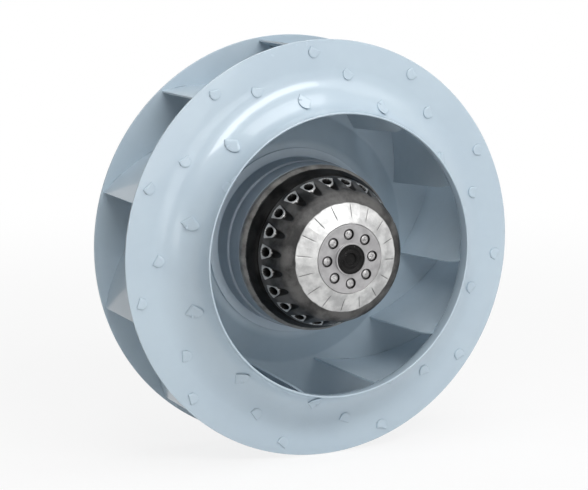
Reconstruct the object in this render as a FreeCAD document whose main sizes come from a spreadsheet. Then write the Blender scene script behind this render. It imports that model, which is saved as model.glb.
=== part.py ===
import FreeCAD
import Part
import Sketcher
import math
import os

# Plug fan: a backward curved impeller on an external rotor motor.
# Every piece is drawn in a front frame: x to the right, y up, z forward from the mounting face
# towards the inlet. One turn about x then stands it in the part's frame: the fan axis along Y,
# the inlet towards -Y, Z up, and the origin at the centre of the mounting face.

doc = FreeCAD.newDocument("plug_fan")

# Driving dimensions, in millimetres and degrees.
driving = {
    # impeller
    "rim_radius": 226.0,
    "sheet_gauge": 2.0,
    "plate_rear": 29.0,
    "channel_width": 95.0,
    "throat_radius": 152.4,
    "throat_reach": 47.0,
    "flare_radius": 44.0,
    "dish_outer_radius": 142.0,
    "dish_inner_radius": 110.0,
    "dish_height": 22.5,
    "jig_hole_radius": 2.0,
    "jig_hole_from_axis": 127.5,
    # blades
    "blade_count": 11,
    "blade_gauge": 2.0,
    "blade_curve": 211.1,
    "blade_centre_from_axis": 104.6,
    "blade_centre_angle": 70.2,
    "blade_end_room": 6.0,
    "trailing_setback": 3.5,
    "leading_radius_back": 145.9,
    "leading_radius_middle": 149.2,
    "leading_radius_front": 151.9,
    "leading_middle_height": 109.0,
    "leading_front_setback": 14.0,
    "lug_width": 12.0,
    "lug_reach": 5.3,
    "lug_back": 4.7,
    "flare_lug_width": 12.0,
    "flare_lug_reach": 6.8,
    "flare_lug_back": 5.2,
    "flare_lug_lean": 15.0,
    "lug_gauge": 1.6,
    "lug_outer_from_axis": 212.4,
    "lug_middle_from_axis": 189.4,
    "lug_inner_from_axis": 164.9,
    "slot_clearance": 0.25,
    "relief_hole_radius": 1.1,
    "relief_hole_inset": 0.5,
    "relief_hole_beyond": 0.7,
    "flare_hole_inset": -0.6,
    "flare_hole_beyond": -2.4,
    "seat_gap": 0.1,
    # sleeve between the back plate and the rotor
    "sleeve_gauge": 2.4,
    "sleeve_flange_radius": 103.0,
    "sleeve_flange_gauge": 2.5,
    "sleeve_foot_radius": 93.1,
    "sleeve_step_height": 25.8,
    "sleeve_length": 50.0,
    "sleeve_corner": 1.5,
    # rotor shell
    "shell_radius": 87.9,
    "shell_bore": 82.5,
    "shell_rear": 12.0,
    "shell_lip_radius": 78.0,
    "shell_lip_front": 20.0,
    "bead_gap": 1.6,
    "bead_radius": 90.4,
    "bead_length": 6.4,
    "bead_corner": 2.4,
    "waist_outer_radius": 82.6,
    "waist_inner_radius": 80.8,
    "face_radius": 81.4,
    "face_height": 137.0,
    "groove_radius": 78.6,
    "groove_width": 3.0,
    "shoulder_radius": 69.6,
    "shoulder_height": 175.6,
    "shoulder_round": 16.0,
    "nose_radius": 37.2,
    "nose_height": 192.0,
    "nose_floor": 180.0,
    "nose_floor_gauge": 10.0,
    "shell_wall": 6.0,
    # balancing pockets
    "pocket_count": 22,
    "pocket_first_angle": 12.0,
    "pocket_from_axis": 76.9,
    "pocket_height": 146.5,
    "pocket_tilt": 60.0,
    "pocket_hole_radius": 4.7,
    "pocket_hole_depth": 7.0,
    "boss_radius": 7.2,
    "recess_end_from_axis": 70.0,
    "recess_round": 4.6,
    "recess_flare": 33.0,
    "recess_floor": 138.0,
    # hub disc, rivets and plug
    "hub_groove": 0.4,
    "rivet_count": 8,
    "rivet_first_angle": 2.6,
    "rivet_circle": 26.1,
    "rivet_shank_radius": 3.0,
    "rivet_fit": 0.05,
    "rivet_head_radius": 4.5,
    "rivet_head_top_radius": 3.6,
    "rivet_head_height": 2.2,
    "rivet_cup_radius": 5.8,
    "rivet_cup_depth": 3.0,
    "collar_radius": 17.2,
    "collar_height": 3.5,
    "plug_radius": 15.6,
    "plug_depth": 8.0,
    "plug_sink": 0.5,
    "plug_chamfer": 1.2,
    "plug_socket_radius": 8.2,
    "plug_socket_depth": 3.4,
    # shaft and ball bearings
    "shaft_radius": 10.0,
    "shaft_middle_radius": 12.0,
    "shaft_front_radius": 12.5,
    "shaft_rear": 15.0,
    "shaft_chamfer": 1.0,
    "circlip_gauge": 1.2,
    "circlip_depth": 0.8,
    "circlip_height": 2.4,
    "circlip_gap": 7.0,
    "bearing_radius": 23.5,
    "bearing_width": 14.0,
    "ball_radius": 3.97,
    "ball_count": 8,
    "ball_gap": 0.03,
    "ring_land_inner": 14.2,
    "ring_land_outer": 18.9,
    "cage_width": 8.0,
    "cage_gap": 0.6,
    "shield_gauge": 0.6,
    "rear_bearing": 22.0,
    "front_bearing": 134.0,
    "spring_height": 2.0,
    "spring_gauge": 0.5,
    "spring_fit": 0.3,
    # stator
    "flange_radius": 76.0,
    "flange_gauge": 18.0,
    "flange_edge": 1.5,
    "pad_inner_radius": 46.0,
    "pad_relief": 3.0,
    "mount_circle": 57.5,
    "mount_hole_radius": 4.0,
    "mount_hole_depth": 14.0,
    "mount_count": 4,
    "tube_radius": 29.5,
    "tube_bore": 21.0,
    "tube_front": 150.5,
    "tube_fillet": 6.0,
    "cap_radius": 26.0,
    "cap_gauge": 1.5,
    "cap_height": 5.0,
    "cap_corner": 1.2,
    "core_rear": 52.0,
    "core_length": 66.0,
    "core_radius": 66.0,
    "air_gap": 0.5,
    "slot_count": 24,
    "slot_bottom": 43.0,
    "slot_top": 62.5,
    "slot_half_bottom": 2.6,
    "slot_half_top": 4.4,
    "slot_mouth": 1.2,
    "insulator_gauge": 1.5,
    "insulator_inset": 0.5,
    "coil_gap": 0.3,
    "coil_overhang": 20.0,
    "coil_room": 2.0,
    "coil_round": 6.0,
    "bar_count": 28,
    "bar_circle": 71.4,
    "bar_radius": 2.4,
    "end_ring_inner": 67.6,
    "end_ring_outer": 79.6,
    "end_ring_width": 8.0,
    "end_ring_room": 1.0,
    # cable gland
    "gland_from_axis": 36.0,
    "gland_thread_radius": 6.0,
    "gland_hex_radius": 9.0,
    "gland_hex_height": 6.0,
    "gland_nut_radius": 8.6,
    "gland_nut_tip_radius": 6.7,
    "gland_nut_height": 11.0,
    "gland_neck_length": 6.6,
    "gland_neck_gauge": 0.8,
    "gland_cable_radius": 3.4,
    "gland_cable_fit": 0.4,
    "gland_seal_gauge": 2.2,
}

sheet = doc.addObject("Spreadsheet::Sheet", "sizes")
for row, (name, number) in enumerate(driving.items(), start=1):
    sheet.set("A%d" % row, name)
    sheet.set("B%d" % row, str(number))
    sheet.setAlias("B%d" % row, name)
doc.recompute()


class Dim:
    # A number together with the sheet expression that gives it.
    def __init__(self, number, text):
        self.number = float(number)
        self.text = text

    def __add__(self, other):
        other = dim(other)
        return Dim(self.number + other.number, "(%s + %s)" % (self.text, other.text))

    def __sub__(self, other):
        other = dim(other)
        return Dim(self.number - other.number, "(%s - %s)" % (self.text, other.text))

    def __mul__(self, other):
        other = dim(other)
        return Dim(self.number * other.number, "(%s * %s)" % (self.text, other.text))

    def __truediv__(self, other):
        other = dim(other)
        return Dim(self.number / other.number, "(%s / %s)" % (self.text, other.text))

    def cosine(self):
        return Dim(math.cos(math.radians(self.number)), "cos(%s)" % self.text)

    def sine(self):
        return Dim(math.sin(math.radians(self.number)), "sin(%s)" % self.text)

    def arccosine(self):
        return Dim(math.degrees(math.acos(self.number)), "(acos(%s) / 1 deg)" % self.text)


def dim(value):
    if isinstance(value, Dim):
        return value
    return Dim(value, repr(float(value)))


class Sizes:
    # The sheet's aliases as attributes, each one a Dim.
    def __getattr__(self, name):
        return Dim(float(sheet.get(name)), "sizes.%s" % name)


size = Sizes()
pieces = []
FULL_TURN = 360.0
LUG_PLACES = ("outer", "middle", "inner")
STAND = FreeCAD.Placement(FreeCAD.Vector(0, 0, 0), FreeCAD.Rotation(FreeCAD.Vector(1, 0, 0), 90))


def bind(obj, prop, value):
    value = dim(value)
    obj.setExpression(prop, value.text)


def piece(obj, label):
    # a finished sub-part: it gets its name and stands up in the part's frame
    obj.Label = label
    obj.Placement = STAND
    pieces.append(obj)
    return obj


def put(obj, x=0, y=0, z=0, turn=None, axis=(0, 0, 1)):
    # places an input of a boolean in the front frame, bound to the sheet
    angle = dim(0 if turn is None else turn)
    spin = FreeCAD.Rotation(FreeCAD.Vector(*axis), angle.number)
    base = FreeCAD.Vector(dim(x).number, dim(y).number, dim(z).number)
    obj.Placement = FreeCAD.Placement(base, spin)
    bind(obj, "Placement.Base.x", x)
    bind(obj, "Placement.Base.y", y)
    bind(obj, "Placement.Base.z", z)
    if isinstance(turn, Dim):
        bind(obj, "Placement.Rotation.Angle", angle)
    return obj


def cylinder(name, radius, height, **place):
    obj = doc.addObject("Part::Cylinder", name)
    bind(obj, "Radius", radius)
    bind(obj, "Height", height)
    return put(obj, **place)


def cone(name, radius_one, radius_two, height, **place):
    obj = doc.addObject("Part::Cone", name)
    bind(obj, "Radius1", radius_one)
    bind(obj, "Radius2", radius_two)
    bind(obj, "Height", height)
    return put(obj, **place)


def box(name, length, width, height, **place):
    obj = doc.addObject("Part::Box", name)
    bind(obj, "Length", length)
    bind(obj, "Width", width)
    bind(obj, "Height", height)
    return put(obj, **place)


def ball(name, radius, **place):
    obj = doc.addObject("Part::Sphere", name)
    bind(obj, "Radius", radius)
    return put(obj, **place)


def torus(name, ring_radius, tube_radius, **place):
    obj = doc.addObject("Part::Torus", name)
    bind(obj, "Radius1", ring_radius)
    bind(obj, "Radius2", tube_radius)
    return put(obj, **place)


def cut(name, base, tool):
    obj = doc.addObject("Part::Cut", name)
    obj.Base = base
    obj.Tool = tool
    return obj


def fuse(name, *shapes):
    obj = doc.addObject("Part::MultiFuse", name)
    obj.Shapes = list(shapes)
    return obj


def common(name, base, tool):
    obj = doc.addObject("Part::Common", name)
    obj.Base = base
    obj.Tool = tool
    return obj


def group(name, *shapes):
    obj = doc.addObject("Part::Compound", name)
    obj.Links = list(shapes)
    return obj


def ring(name, shape, count, first_angle=0.0):
    # copies of one shape, evenly spaced about the fan axis
    copies = []
    total = int(round(dim(count).number))
    for index in range(total):
        copy = group("%s_copy_%02d" % (name, index + 1), shape)
        turn = dim(first_angle) + dim(FULL_TURN * index) / count
        put(copy, turn=turn)
        copies.append(copy)
    return group(name, *copies)


def origin_plane(body, role):
    for feature in body.Origin.OriginFeatures:
        if feature.Role == role:
            return feature
    raise ValueError(role)


def corner_arc(before, corner, after, radius):
    # the arc that rounds a corner: its centre and the two points where it meets the lines
    one = (before - corner).normalize()
    two = (after - corner).normalize()
    half = one.getAngle(two) / 2
    reach = radius / math.tan(half)
    middle = (one + two).normalize()
    centre = corner + middle * (radius / math.sin(half))
    return centre, corner + one * reach, corner + two * reach


def outline(body, name, points, plane="XZ_Plane"):
    # A closed outline of straight lines through the points (across, along), each bound to the
    # sheet. A third value rounds that corner with an arc of that radius.
    sketch = body.newObject("Sketcher::SketchObject", name)
    sketch.AttachmentSupport = [(origin_plane(body, plane), "")]
    sketch.MapMode = "FlatFace"
    corners = [FreeCAD.Vector(dim(p[0]).number, dim(p[1]).number, 0) for p in points]
    total = len(points)
    starts = list(corners)
    ends = list(corners)
    centres = {}
    for index, point in enumerate(points):
        if len(point) > 2:
            before = corners[index - 1]
            after = corners[(index + 1) % total]
            radius = dim(point[2]).number
            centre, first, second = corner_arc(before, corners[index], after, radius)
            centres[index] = centre
            ends[index] = first
            starts[index] = second
    for index in range(total):
        sketch.addGeometry(Part.LineSegment(starts[index], ends[(index + 1) % total]), False)
    for index in range(total):
        line_in = (index - 1) % total
        if index not in centres:
            sketch.addConstraint(Sketcher.Constraint("Coincident", line_in, 2, index, 1))
            fix_point(sketch, index, 1, points[index])
            continue
        add_round(sketch, line_in, index, centres[index], ends[index], starts[index], points[index])
    return sketch


def add_round(sketch, line_in, line_out, centre, first, second, point):
    # an arc tangent to both lines, and the sharp corner kept as a bound point on them
    radius = dim(point[2])
    sweep = (first - centre).cross(second - centre).z
    normal = FreeCAD.Vector(0, 0, 1)
    circle = Part.Circle(centre, normal, radius.number)
    angles = [math.atan2(p.y - centre.y, p.x - centre.x) for p in (first, second)]
    if sweep < 0:
        angles.reverse()
    arc = sketch.addGeometry(Part.ArcOfCircle(circle, angles[0], angles[1]), False)
    first_end = 1 if sweep > 0 else 2
    second_end = 2 if sweep > 0 else 1
    sketch.addConstraint(Sketcher.Constraint("Tangent", line_in, 2, arc, first_end))
    sketch.addConstraint(Sketcher.Constraint("Tangent", arc, second_end, line_out, 1))
    index = sketch.addConstraint(Sketcher.Constraint("Radius", arc, radius.number))
    sketch.setExpression("Constraints[%d]" % index, radius.text)
    corner = FreeCAD.Vector(dim(point[0]).number, dim(point[1]).number, 0)
    mark = sketch.addGeometry(Part.Point(corner), True)
    fix_point(sketch, mark, 1, point)
    sketch.addConstraint(Sketcher.Constraint("PointOnObject", mark, 1, line_in))
    sketch.addConstraint(Sketcher.Constraint("PointOnObject", mark, 1, line_out))


def fix_point(sketch, geometry, end, point):
    for kind, value, axis in (("DistanceX", point[0], -2), ("DistanceY", point[1], -1)):
        value = dim(value)
        if value.number == 0 and value.text == "0.0":
            sketch.addConstraint(Sketcher.Constraint("PointOnObject", geometry, end, axis))
            continue
        constraint = Sketcher.Constraint(kind, -1, 1, geometry, end, value.number)
        index = sketch.addConstraint(constraint)
        sketch.setExpression("Constraints[%d]" % index, value.text)


def turned(name, points):
    # a body turned about the fan axis from its half section (distance from the axis, height)
    body = doc.addObject("PartDesign::Body", name)
    sketch = outline(body, name + "_section", points)
    solid = body.newObject("PartDesign::Revolution", name + "_turn")
    solid.Profile = sketch
    solid.ReferenceAxis = (sketch, ["V_Axis"])
    solid.Angle = FULL_TURN
    body.Tip = solid
    return body


def washer(name, inner, outer, low, high):
    return turned(name, [(inner, low), (outer, low), (outer, high), (inner, high)])


# Heights in the front frame that several pieces share.
plate_front = size.plate_rear + size.sheet_gauge
shroud_rear = plate_front + size.channel_width
shroud_front = shroud_rear + size.sheet_gauge
throat_lip = shroud_front + size.throat_reach
dish_rear = size.plate_rear + size.dish_height
dish_front = dish_rear + size.sheet_gauge
sleeve_face = dish_front + size.sleeve_flange_gauge
core_front = size.core_rear + size.core_length
sleeve_front = sleeve_face + size.sleeve_length
bead_rear = sleeve_front + size.bead_gap
bead_front = bead_rear + size.bead_length


def shroud_band(name, low, high, outer):
    # a spun sheet between two offsets from the shroud's front face
    def wall(offset):
        return (size.throat_radius + offset, shroud_front + offset, size.flare_radius - offset)

    points = [
        (outer, shroud_front + low),
        wall(low),
        (size.throat_radius + low, throat_lip),
        (size.throat_radius + high, throat_lip),
        wall(high),
        (outer, shroud_front + high),
    ]
    return turned(name, points)


# Impeller.
def blade_angle(radius):
    # where the blade's curve crosses a radius about the fan's axis, as an angle about the
    # centre of that curve
    curve = size.blade_curve
    offset = size.blade_centre_from_axis
    share = (curve * curve + offset * offset - radius * radius) / (curve * offset * 2)
    return size.blade_centre_angle + share.arccosine() - FULL_TURN / 2


def blade_sheet(name, gauge):
    # the curved sheet, a sector of a pipe that reaches a little past both ends of the blade
    x = size.blade_centre_from_axis * size.blade_centre_angle.cosine()
    y = size.blade_centre_from_axis * size.blade_centre_angle.sine()
    height = throat_lip
    first = blade_angle(size.leading_radius_back) - size.blade_end_room
    last = blade_angle(size.rim_radius) + size.blade_end_room
    outside = cylinder(name + "_outside", size.blade_curve + gauge / 2, height,
                       x=x, y=y, turn=first)
    bind(outside, "Angle", last - first)
    inside = cylinder(name + "_inside", size.blade_curve - gauge / 2, height, x=x, y=y)
    return cut(name, outside, inside)


def lug_plan(place):
    # The inner lug lies on the slope of the flare, which turns it in plan.
    if place == "inner":
        return (size.flare_lug_width, size.flare_lug_reach, size.flare_lug_back,
                size.flare_lug_lean)
    return size.lug_width, size.lug_reach, size.lug_back, dim(0)


def lug_angle(place):
    return blade_angle(getattr(size, "lug_%s_from_axis" % place))


def lug_spot(place, outward=0, along=0):
    # A place measured from the middle of a lug: outward to the rim side of the blade, and along
    # the blade towards its trailing end.
    angle = lug_angle(place)
    x = size.blade_centre_from_axis * size.blade_centre_angle.cosine()
    y = size.blade_centre_from_axis * size.blade_centre_angle.sine()
    x = x + size.blade_curve * angle.cosine()
    y = y + size.blade_curve * angle.sine()
    facing = angle - lug_plan(place)[3]
    x = x + dim(outward) * facing.cosine() - dim(along) * facing.sine()
    y = y + dim(outward) * facing.sine() + dim(along) * facing.cosine()
    return x, y


def lug_windows(name, room):
    windows = []
    for place in LUG_PLACES:
        x, y = lug_spot(place)
        width = lug_plan(place)[0]
        windows.append(cylinder("%s_%s" % (name, place), width / 2 + room, throat_lip, x=x, y=y))
    return group(name, *windows)


def lug_heads(name):
    # tabs with a straight end on the rim side of the blade and a round one on the hub side
    heads = []
    for place in LUG_PLACES:
        width, reach, back, lean = lug_plan(place)
        half = width / 2
        middle = half - reach
        x, y = lug_spot(place, middle)
        round_end = cylinder("%s_%s_round" % (name, place), half, throat_lip, x=x, y=y)
        x, y = lug_spot(place, middle, half * -1)
        tab = box("%s_%s_tab" % (name, place), back - middle, width, throat_lip, x=x, y=y,
                  turn=lug_angle(place) - lean)
        heads.append(fuse("%s_%s" % (name, place), round_end, tab))
    return group(name, *heads)


def relief_holes(name):
    # One small hole in the plates at each lug, near the corner of its straight end, measured
    # inward from its side and outward from that end.
    holes = []
    for place in LUG_PLACES:
        inset, beyond = size.relief_hole_inset, size.relief_hole_beyond
        if place == "inner":
            inset, beyond = size.flare_hole_inset, size.flare_hole_beyond
        width, reach, back, lean = lug_plan(place)
        x, y = lug_spot(place, back + beyond, width / 2 - inset)
        holes.append(cylinder("%s_%s" % (name, place), size.relief_hole_radius, throat_lip,
                              x=x, y=y))
    return group(name, *holes)


def blade_shape():
    sheet_solid = blade_sheet("blade_sheet", size.blade_gauge)
    trailing = size.rim_radius - size.trailing_setback
    wall = size.throat_radius - size.sheet_gauge - size.seat_gap
    channel = turned("blade_channel", [
        (trailing, plate_front + size.seat_gap),
        (trailing, shroud_rear - size.seat_gap),
        (wall, shroud_rear - size.seat_gap, size.flare_radius + size.sheet_gauge + size.seat_gap),
        (wall, throat_lip),
        (size.shaft_radius, throat_lip),
        (size.shaft_radius, plate_front + size.seat_gap),
    ])
    front_end = throat_lip - size.leading_front_setback
    inlet_core = turned("inlet_core", [
        (0, size.shell_rear),
        (size.leading_radius_back, size.shell_rear),
        (size.leading_radius_back, plate_front),
        (size.leading_radius_middle, plate_front + size.leading_middle_height),
        (size.leading_radius_front, front_end),
        (size.leading_radius_front + size.lug_width, front_end),
        (size.leading_radius_front + size.lug_width, throat_lip + size.lug_width),
        (0, throat_lip + size.lug_width),
    ])
    swept = common("blade_swept", sheet_solid, channel)
    leaf = cut("blade_leaf", swept, inlet_core)
    stems = common("lug_stems", sheet_solid, lug_windows("lug_window", 0))
    top = size.seat_gap + size.lug_gauge
    bounds = turned("lug_bounds", [
        (trailing, size.plate_rear - top),
        (trailing, shroud_front + top),
        (size.throat_radius + top, shroud_front + top, size.flare_radius - top),
        (size.throat_radius + top, throat_lip),
        (size.leading_radius_back, throat_lip),
        (size.leading_radius_back, size.plate_rear - top),
    ])
    stems = common("lug_stems_cut", stems, bounds)
    front_layer = shroud_band("lug_front_layer", size.seat_gap, top, trailing)
    rear_layer = washer("lug_rear_layer", size.leading_radius_back, trailing,
                        size.plate_rear - top, size.plate_rear - size.seat_gap)
    layers = group("lug_layers", front_layer, rear_layer)
    heads = common("lug_heads_cut", lug_heads("lug_head"), layers)
    return fuse("blade_master", leaf, stems, heads)


def make_blades():
    master = blade_shape()
    total = int(round(size.blade_count.number))
    for index in range(total):
        turn = dim(FULL_TURN * index) / size.blade_count
        copy = group("blade_turned_%02d" % (index + 1), master)
        put(copy, turn=turn)
        piece(group("blade_%02d_piece" % (index + 1), copy), "blade_%02d" % (index + 1))


def slot_tool():
    gauge = size.blade_gauge + size.slot_clearance * 2
    wide_sheet = blade_sheet("slot_sheet", gauge)
    windows = lug_windows("slot_window", size.slot_clearance)
    slots = common("slot_one_blade", wide_sheet, windows)
    openings = group("openings_one_blade", slots, relief_holes("relief_hole"))
    return ring("slots", openings, size.blade_count)


def make_plates():
    slots = slot_tool()
    blank = shroud_band("shroud_blank", size.sheet_gauge * -1, 0, size.rim_radius)
    piece(cut("shroud_piece", blank, slots), "shroud")
    plate = turned("back_plate_blank", [
        (size.sleeve_foot_radius, dish_rear),
        (size.dish_inner_radius, dish_rear),
        (size.dish_outer_radius, size.plate_rear),
        (size.rim_radius, size.plate_rear),
        (size.rim_radius, plate_front),
        (size.dish_outer_radius, plate_front),
        (size.dish_inner_radius, dish_front),
        (size.sleeve_foot_radius, dish_front),
    ])
    slotted = cut("back_plate_slotted", plate, slots)
    hole = cylinder("jig_hole", size.jig_hole_radius, sleeve_face, y=size.jig_hole_from_axis * -1)
    piece(cut("back_plate_piece", slotted, hole), "back_plate")


def make_sleeve():
    foot_bore = size.sleeve_foot_radius - size.sleeve_gauge
    neck = size.shell_radius + size.sleeve_gauge
    step = sleeve_face + size.sleeve_step_height
    body = turned("hub_sleeve", [
        (foot_bore, dish_front),
        (size.sleeve_flange_radius, dish_front),
        (size.sleeve_flange_radius, sleeve_face),
        (size.sleeve_foot_radius, sleeve_face),
        (size.sleeve_foot_radius, step, size.sleeve_corner),
        (neck, step),
        (neck, sleeve_front),
        (size.shell_radius, sleeve_front),
        (size.shell_radius, step - size.sleeve_gauge),
        (foot_bore, step - size.sleeve_gauge),
    ])
    piece(body, "hub_sleeve")


# Rotor.
def recess_tool():
    # a recess parallel to the axis: a round end towards the hub and two sides that spread
    # outwards, each side the edge of a box turned about the middle of the round end
    round_end = size.recess_round
    centre = size.recess_end_from_axis + round_end
    low = size.recess_floor
    height = size.nose_height - low
    parts = [cylinder("recess_end", round_end, height, x=centre, z=low)]
    for place, flare in (("left", size.recess_flare), ("right", size.recess_flare * -1)):
        x = centre + round_end * flare.sine()
        y = round_end * flare.cosine() * -1
        parts.append(box("recess_" + place, size.face_radius - size.recess_end_from_axis,
                         round_end * 2, height, x=x, y=y, z=low, turn=flare))
    return fuse("recess", *parts)


def pocket_tool():
    # the recess less the tilted boss that stands in it, and the balancing hole in that boss
    tilt = size.pocket_tilt
    depth = size.boss_radius * 2
    low_x = size.pocket_from_axis - depth * tilt.sine()
    low_z = size.pocket_height - depth * tilt.cosine()
    boss_end = cylinder("boss_end", size.boss_radius, depth, x=low_x, z=low_z,
                        turn=tilt, axis=(0, 1, 0))
    boss_body = box("boss_body", depth, depth * 2, depth, x=low_x, y=depth * -1, z=low_z,
                    turn=tilt, axis=(0, 1, 0))
    around_boss = cut("around_boss", recess_tool(), fuse("boss", boss_end, boss_body))
    hole_x = size.pocket_from_axis - size.pocket_hole_depth * tilt.sine()
    hole_z = size.pocket_height - size.pocket_hole_depth * tilt.cosine()
    hole = cylinder("pocket_hole", size.pocket_hole_radius, size.pocket_hole_depth * 2,
                    x=hole_x, z=hole_z, turn=tilt, axis=(0, 1, 0))
    one = fuse("pocket_one", around_boss, hole)
    return ring("pockets", one, size.pocket_count, size.pocket_first_angle)


def make_rotor_shell():
    floor_rear = size.nose_floor - size.nose_floor_gauge
    shaft_bore = size.shaft_front_radius + size.slot_clearance
    wall = size.shell_wall
    coil_front = core_front + size.coil_overhang
    blank = turned("shell_blank", [
        (size.shell_lip_radius, size.shell_rear),
        (size.shell_radius, size.shell_rear),
        (size.shell_radius, bead_rear),
        (size.bead_radius, bead_rear),
        (size.bead_radius, bead_front, size.bead_corner),
        (size.waist_outer_radius, size.face_height - size.groove_width * 2),
        (size.waist_inner_radius, size.face_height - size.groove_width),
        (size.groove_radius, size.face_height - size.groove_width),
        (size.groove_radius, size.face_height),
        (size.face_radius, size.face_height),
        (size.shoulder_radius, size.shoulder_height, size.shoulder_round),
        (size.nose_radius, size.nose_height),
        (size.nose_radius, size.nose_floor),
        (shaft_bore, size.nose_floor),
        (shaft_bore, floor_rear),
        (size.nose_radius + wall, floor_rear),
        (size.shoulder_radius - wall * 2, size.shoulder_height - wall * 2),
        (size.core_radius + size.air_gap, coil_front + size.coil_room),
        (size.end_ring_outer + size.air_gap, core_front + size.end_ring_width + size.end_ring_room),
        (size.end_ring_outer + size.air_gap, core_front),
        (size.shell_bore, core_front),
        (size.shell_bore, size.shell_lip_front),
        (size.shell_lip_radius, size.shell_lip_front),
    ])
    holes = ring("shell_rivet_holes", rivet_hole("shell_rivet_hole"), size.rivet_count,
                 size.rivet_first_angle)
    pocketed = cut("shell_pocketed", blank, pocket_tool())
    piece(cut("rotor_shell_piece", pocketed, holes), "rotor_shell")


def rivet_hole(name):
    return cylinder(name, size.rivet_shank_radius + size.rivet_fit, size.nose_height,
                    x=size.rivet_circle, z=size.core_rear)


def make_hub_disc():
    outer = size.nose_radius - size.hub_groove
    blank = turned("hub_blank", [
        (size.shaft_front_radius, size.nose_floor),
        (outer, size.nose_floor),
        (outer, size.nose_height),
        (size.collar_radius, size.nose_height),
        (size.collar_radius, size.nose_height + size.collar_height),
        (size.plug_radius, size.nose_height + size.collar_height),
        (size.plug_radius, size.nose_height + size.collar_height - size.plug_depth),
        (size.shaft_front_radius, size.nose_height + size.collar_height - size.plug_depth),
    ])
    cup = cylinder("rivet_cup", size.rivet_cup_radius, size.rivet_cup_depth * 2,
                   x=size.rivet_circle, z=size.nose_height - size.rivet_cup_depth)
    hollow = fuse("rivet_hollow", cup, rivet_hole("hub_rivet_hole"))
    hollows = ring("rivet_hollows", hollow, size.rivet_count, size.rivet_first_angle)
    piece(cut("hub_disc_piece", blank, hollows), "hub_disc")


def make_rivets():
    head_seat = size.nose_height - size.rivet_cup_depth
    floor_rear = size.nose_floor - size.nose_floor_gauge
    tail = size.rivet_head_height
    shank = cylinder("rivet_shank", size.rivet_shank_radius, head_seat - floor_rear,
                     x=size.rivet_circle, z=floor_rear)
    head = cone("rivet_head", size.rivet_head_radius, size.rivet_head_top_radius,
                size.rivet_head_height, x=size.rivet_circle, z=head_seat)
    foot = cylinder("rivet_tail", size.rivet_head_radius, tail,
                    x=size.rivet_circle, z=floor_rear - tail)
    one = fuse("rivet_one", shank, head, foot)
    piece(ring("hub_rivets_piece", one, size.rivet_count, size.rivet_first_angle), "hub_rivets")


def make_shaft():
    middle_rear = size.rear_bearing + size.bearing_width
    middle_front = size.front_bearing
    shoulder = size.front_bearing + size.bearing_width
    plug_rear = size.nose_height + size.collar_height - size.plug_depth
    clip_front = size.rear_bearing
    clip_rear = clip_front - size.circlip_gauge
    neck = size.shaft_radius - size.circlip_depth
    body = turned("shaft", [
        (0, size.shaft_rear),
        (size.shaft_radius - size.shaft_chamfer, size.shaft_rear),
        (size.shaft_radius, size.shaft_rear + size.shaft_chamfer),
        (size.shaft_radius, clip_rear),
        (neck, clip_rear),
        (neck, clip_front),
        (size.shaft_radius, clip_front),
        (size.shaft_radius, middle_rear),
        (size.shaft_middle_radius, middle_rear),
        (size.shaft_middle_radius, middle_front),
        (size.shaft_radius, middle_front),
        (size.shaft_radius, shoulder),
        (size.shaft_front_radius, shoulder),
        (size.shaft_front_radius, plug_rear),
        (0, plug_rear),
    ])
    piece(body, "shaft")
    clip = washer("shaft_circlip_ring", neck, size.shaft_radius + size.circlip_height,
                  clip_rear, clip_front)
    gap = box("shaft_circlip_gap", size.bearing_radius, size.circlip_gap, size.bearing_radius,
              y=size.circlip_gap * -0.5, z=clip_rear - size.circlip_gauge)
    piece(cut("shaft_circlip_piece", clip, gap), "shaft_circlip")


def make_plug():
    rim = size.nose_height + size.collar_height
    rear = rim - size.plug_depth
    front = rim - size.plug_sink
    outer = size.plug_radius
    socket = size.plug_socket_radius
    chamfer = size.plug_chamfer
    body = turned("shaft_plug", [
        (0, rear),
        (outer, rear),
        (outer, front, chamfer),
        (socket + chamfer, front),
        (socket, front - chamfer),
        (socket, rim - size.plug_socket_depth),
        (0, rim - size.plug_socket_depth),
    ])
    piece(body, "shaft_plug")


def make_rotor_core():
    bore = size.core_radius + size.air_gap
    stack = washer("rotor_stack_blank", bore, size.shell_bore, size.core_rear, core_front)
    hole = cylinder("bar_hole", size.bar_radius, core_front, x=size.bar_circle)
    holes = ring("bar_holes", hole, size.bar_count)
    piece(cut("rotor_laminations_piece", stack, holes), "rotor_laminations")
    bar = cylinder("cage_bar", size.bar_radius, size.core_length + size.end_ring_width,
                   x=size.bar_circle, z=size.core_rear - size.end_ring_width / 2)
    bars = ring("cage_bars", bar, size.bar_count)
    rear_ring = washer("cage_rear_ring", size.end_ring_inner, size.end_ring_outer,
                       size.core_rear - size.end_ring_width, size.core_rear)
    front_ring = washer("cage_front_ring", size.end_ring_inner, size.end_ring_outer,
                        core_front, core_front + size.end_ring_width)
    piece(fuse("squirrel_cage_piece", rear_ring, front_ring, bars), "squirrel_cage")


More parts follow.
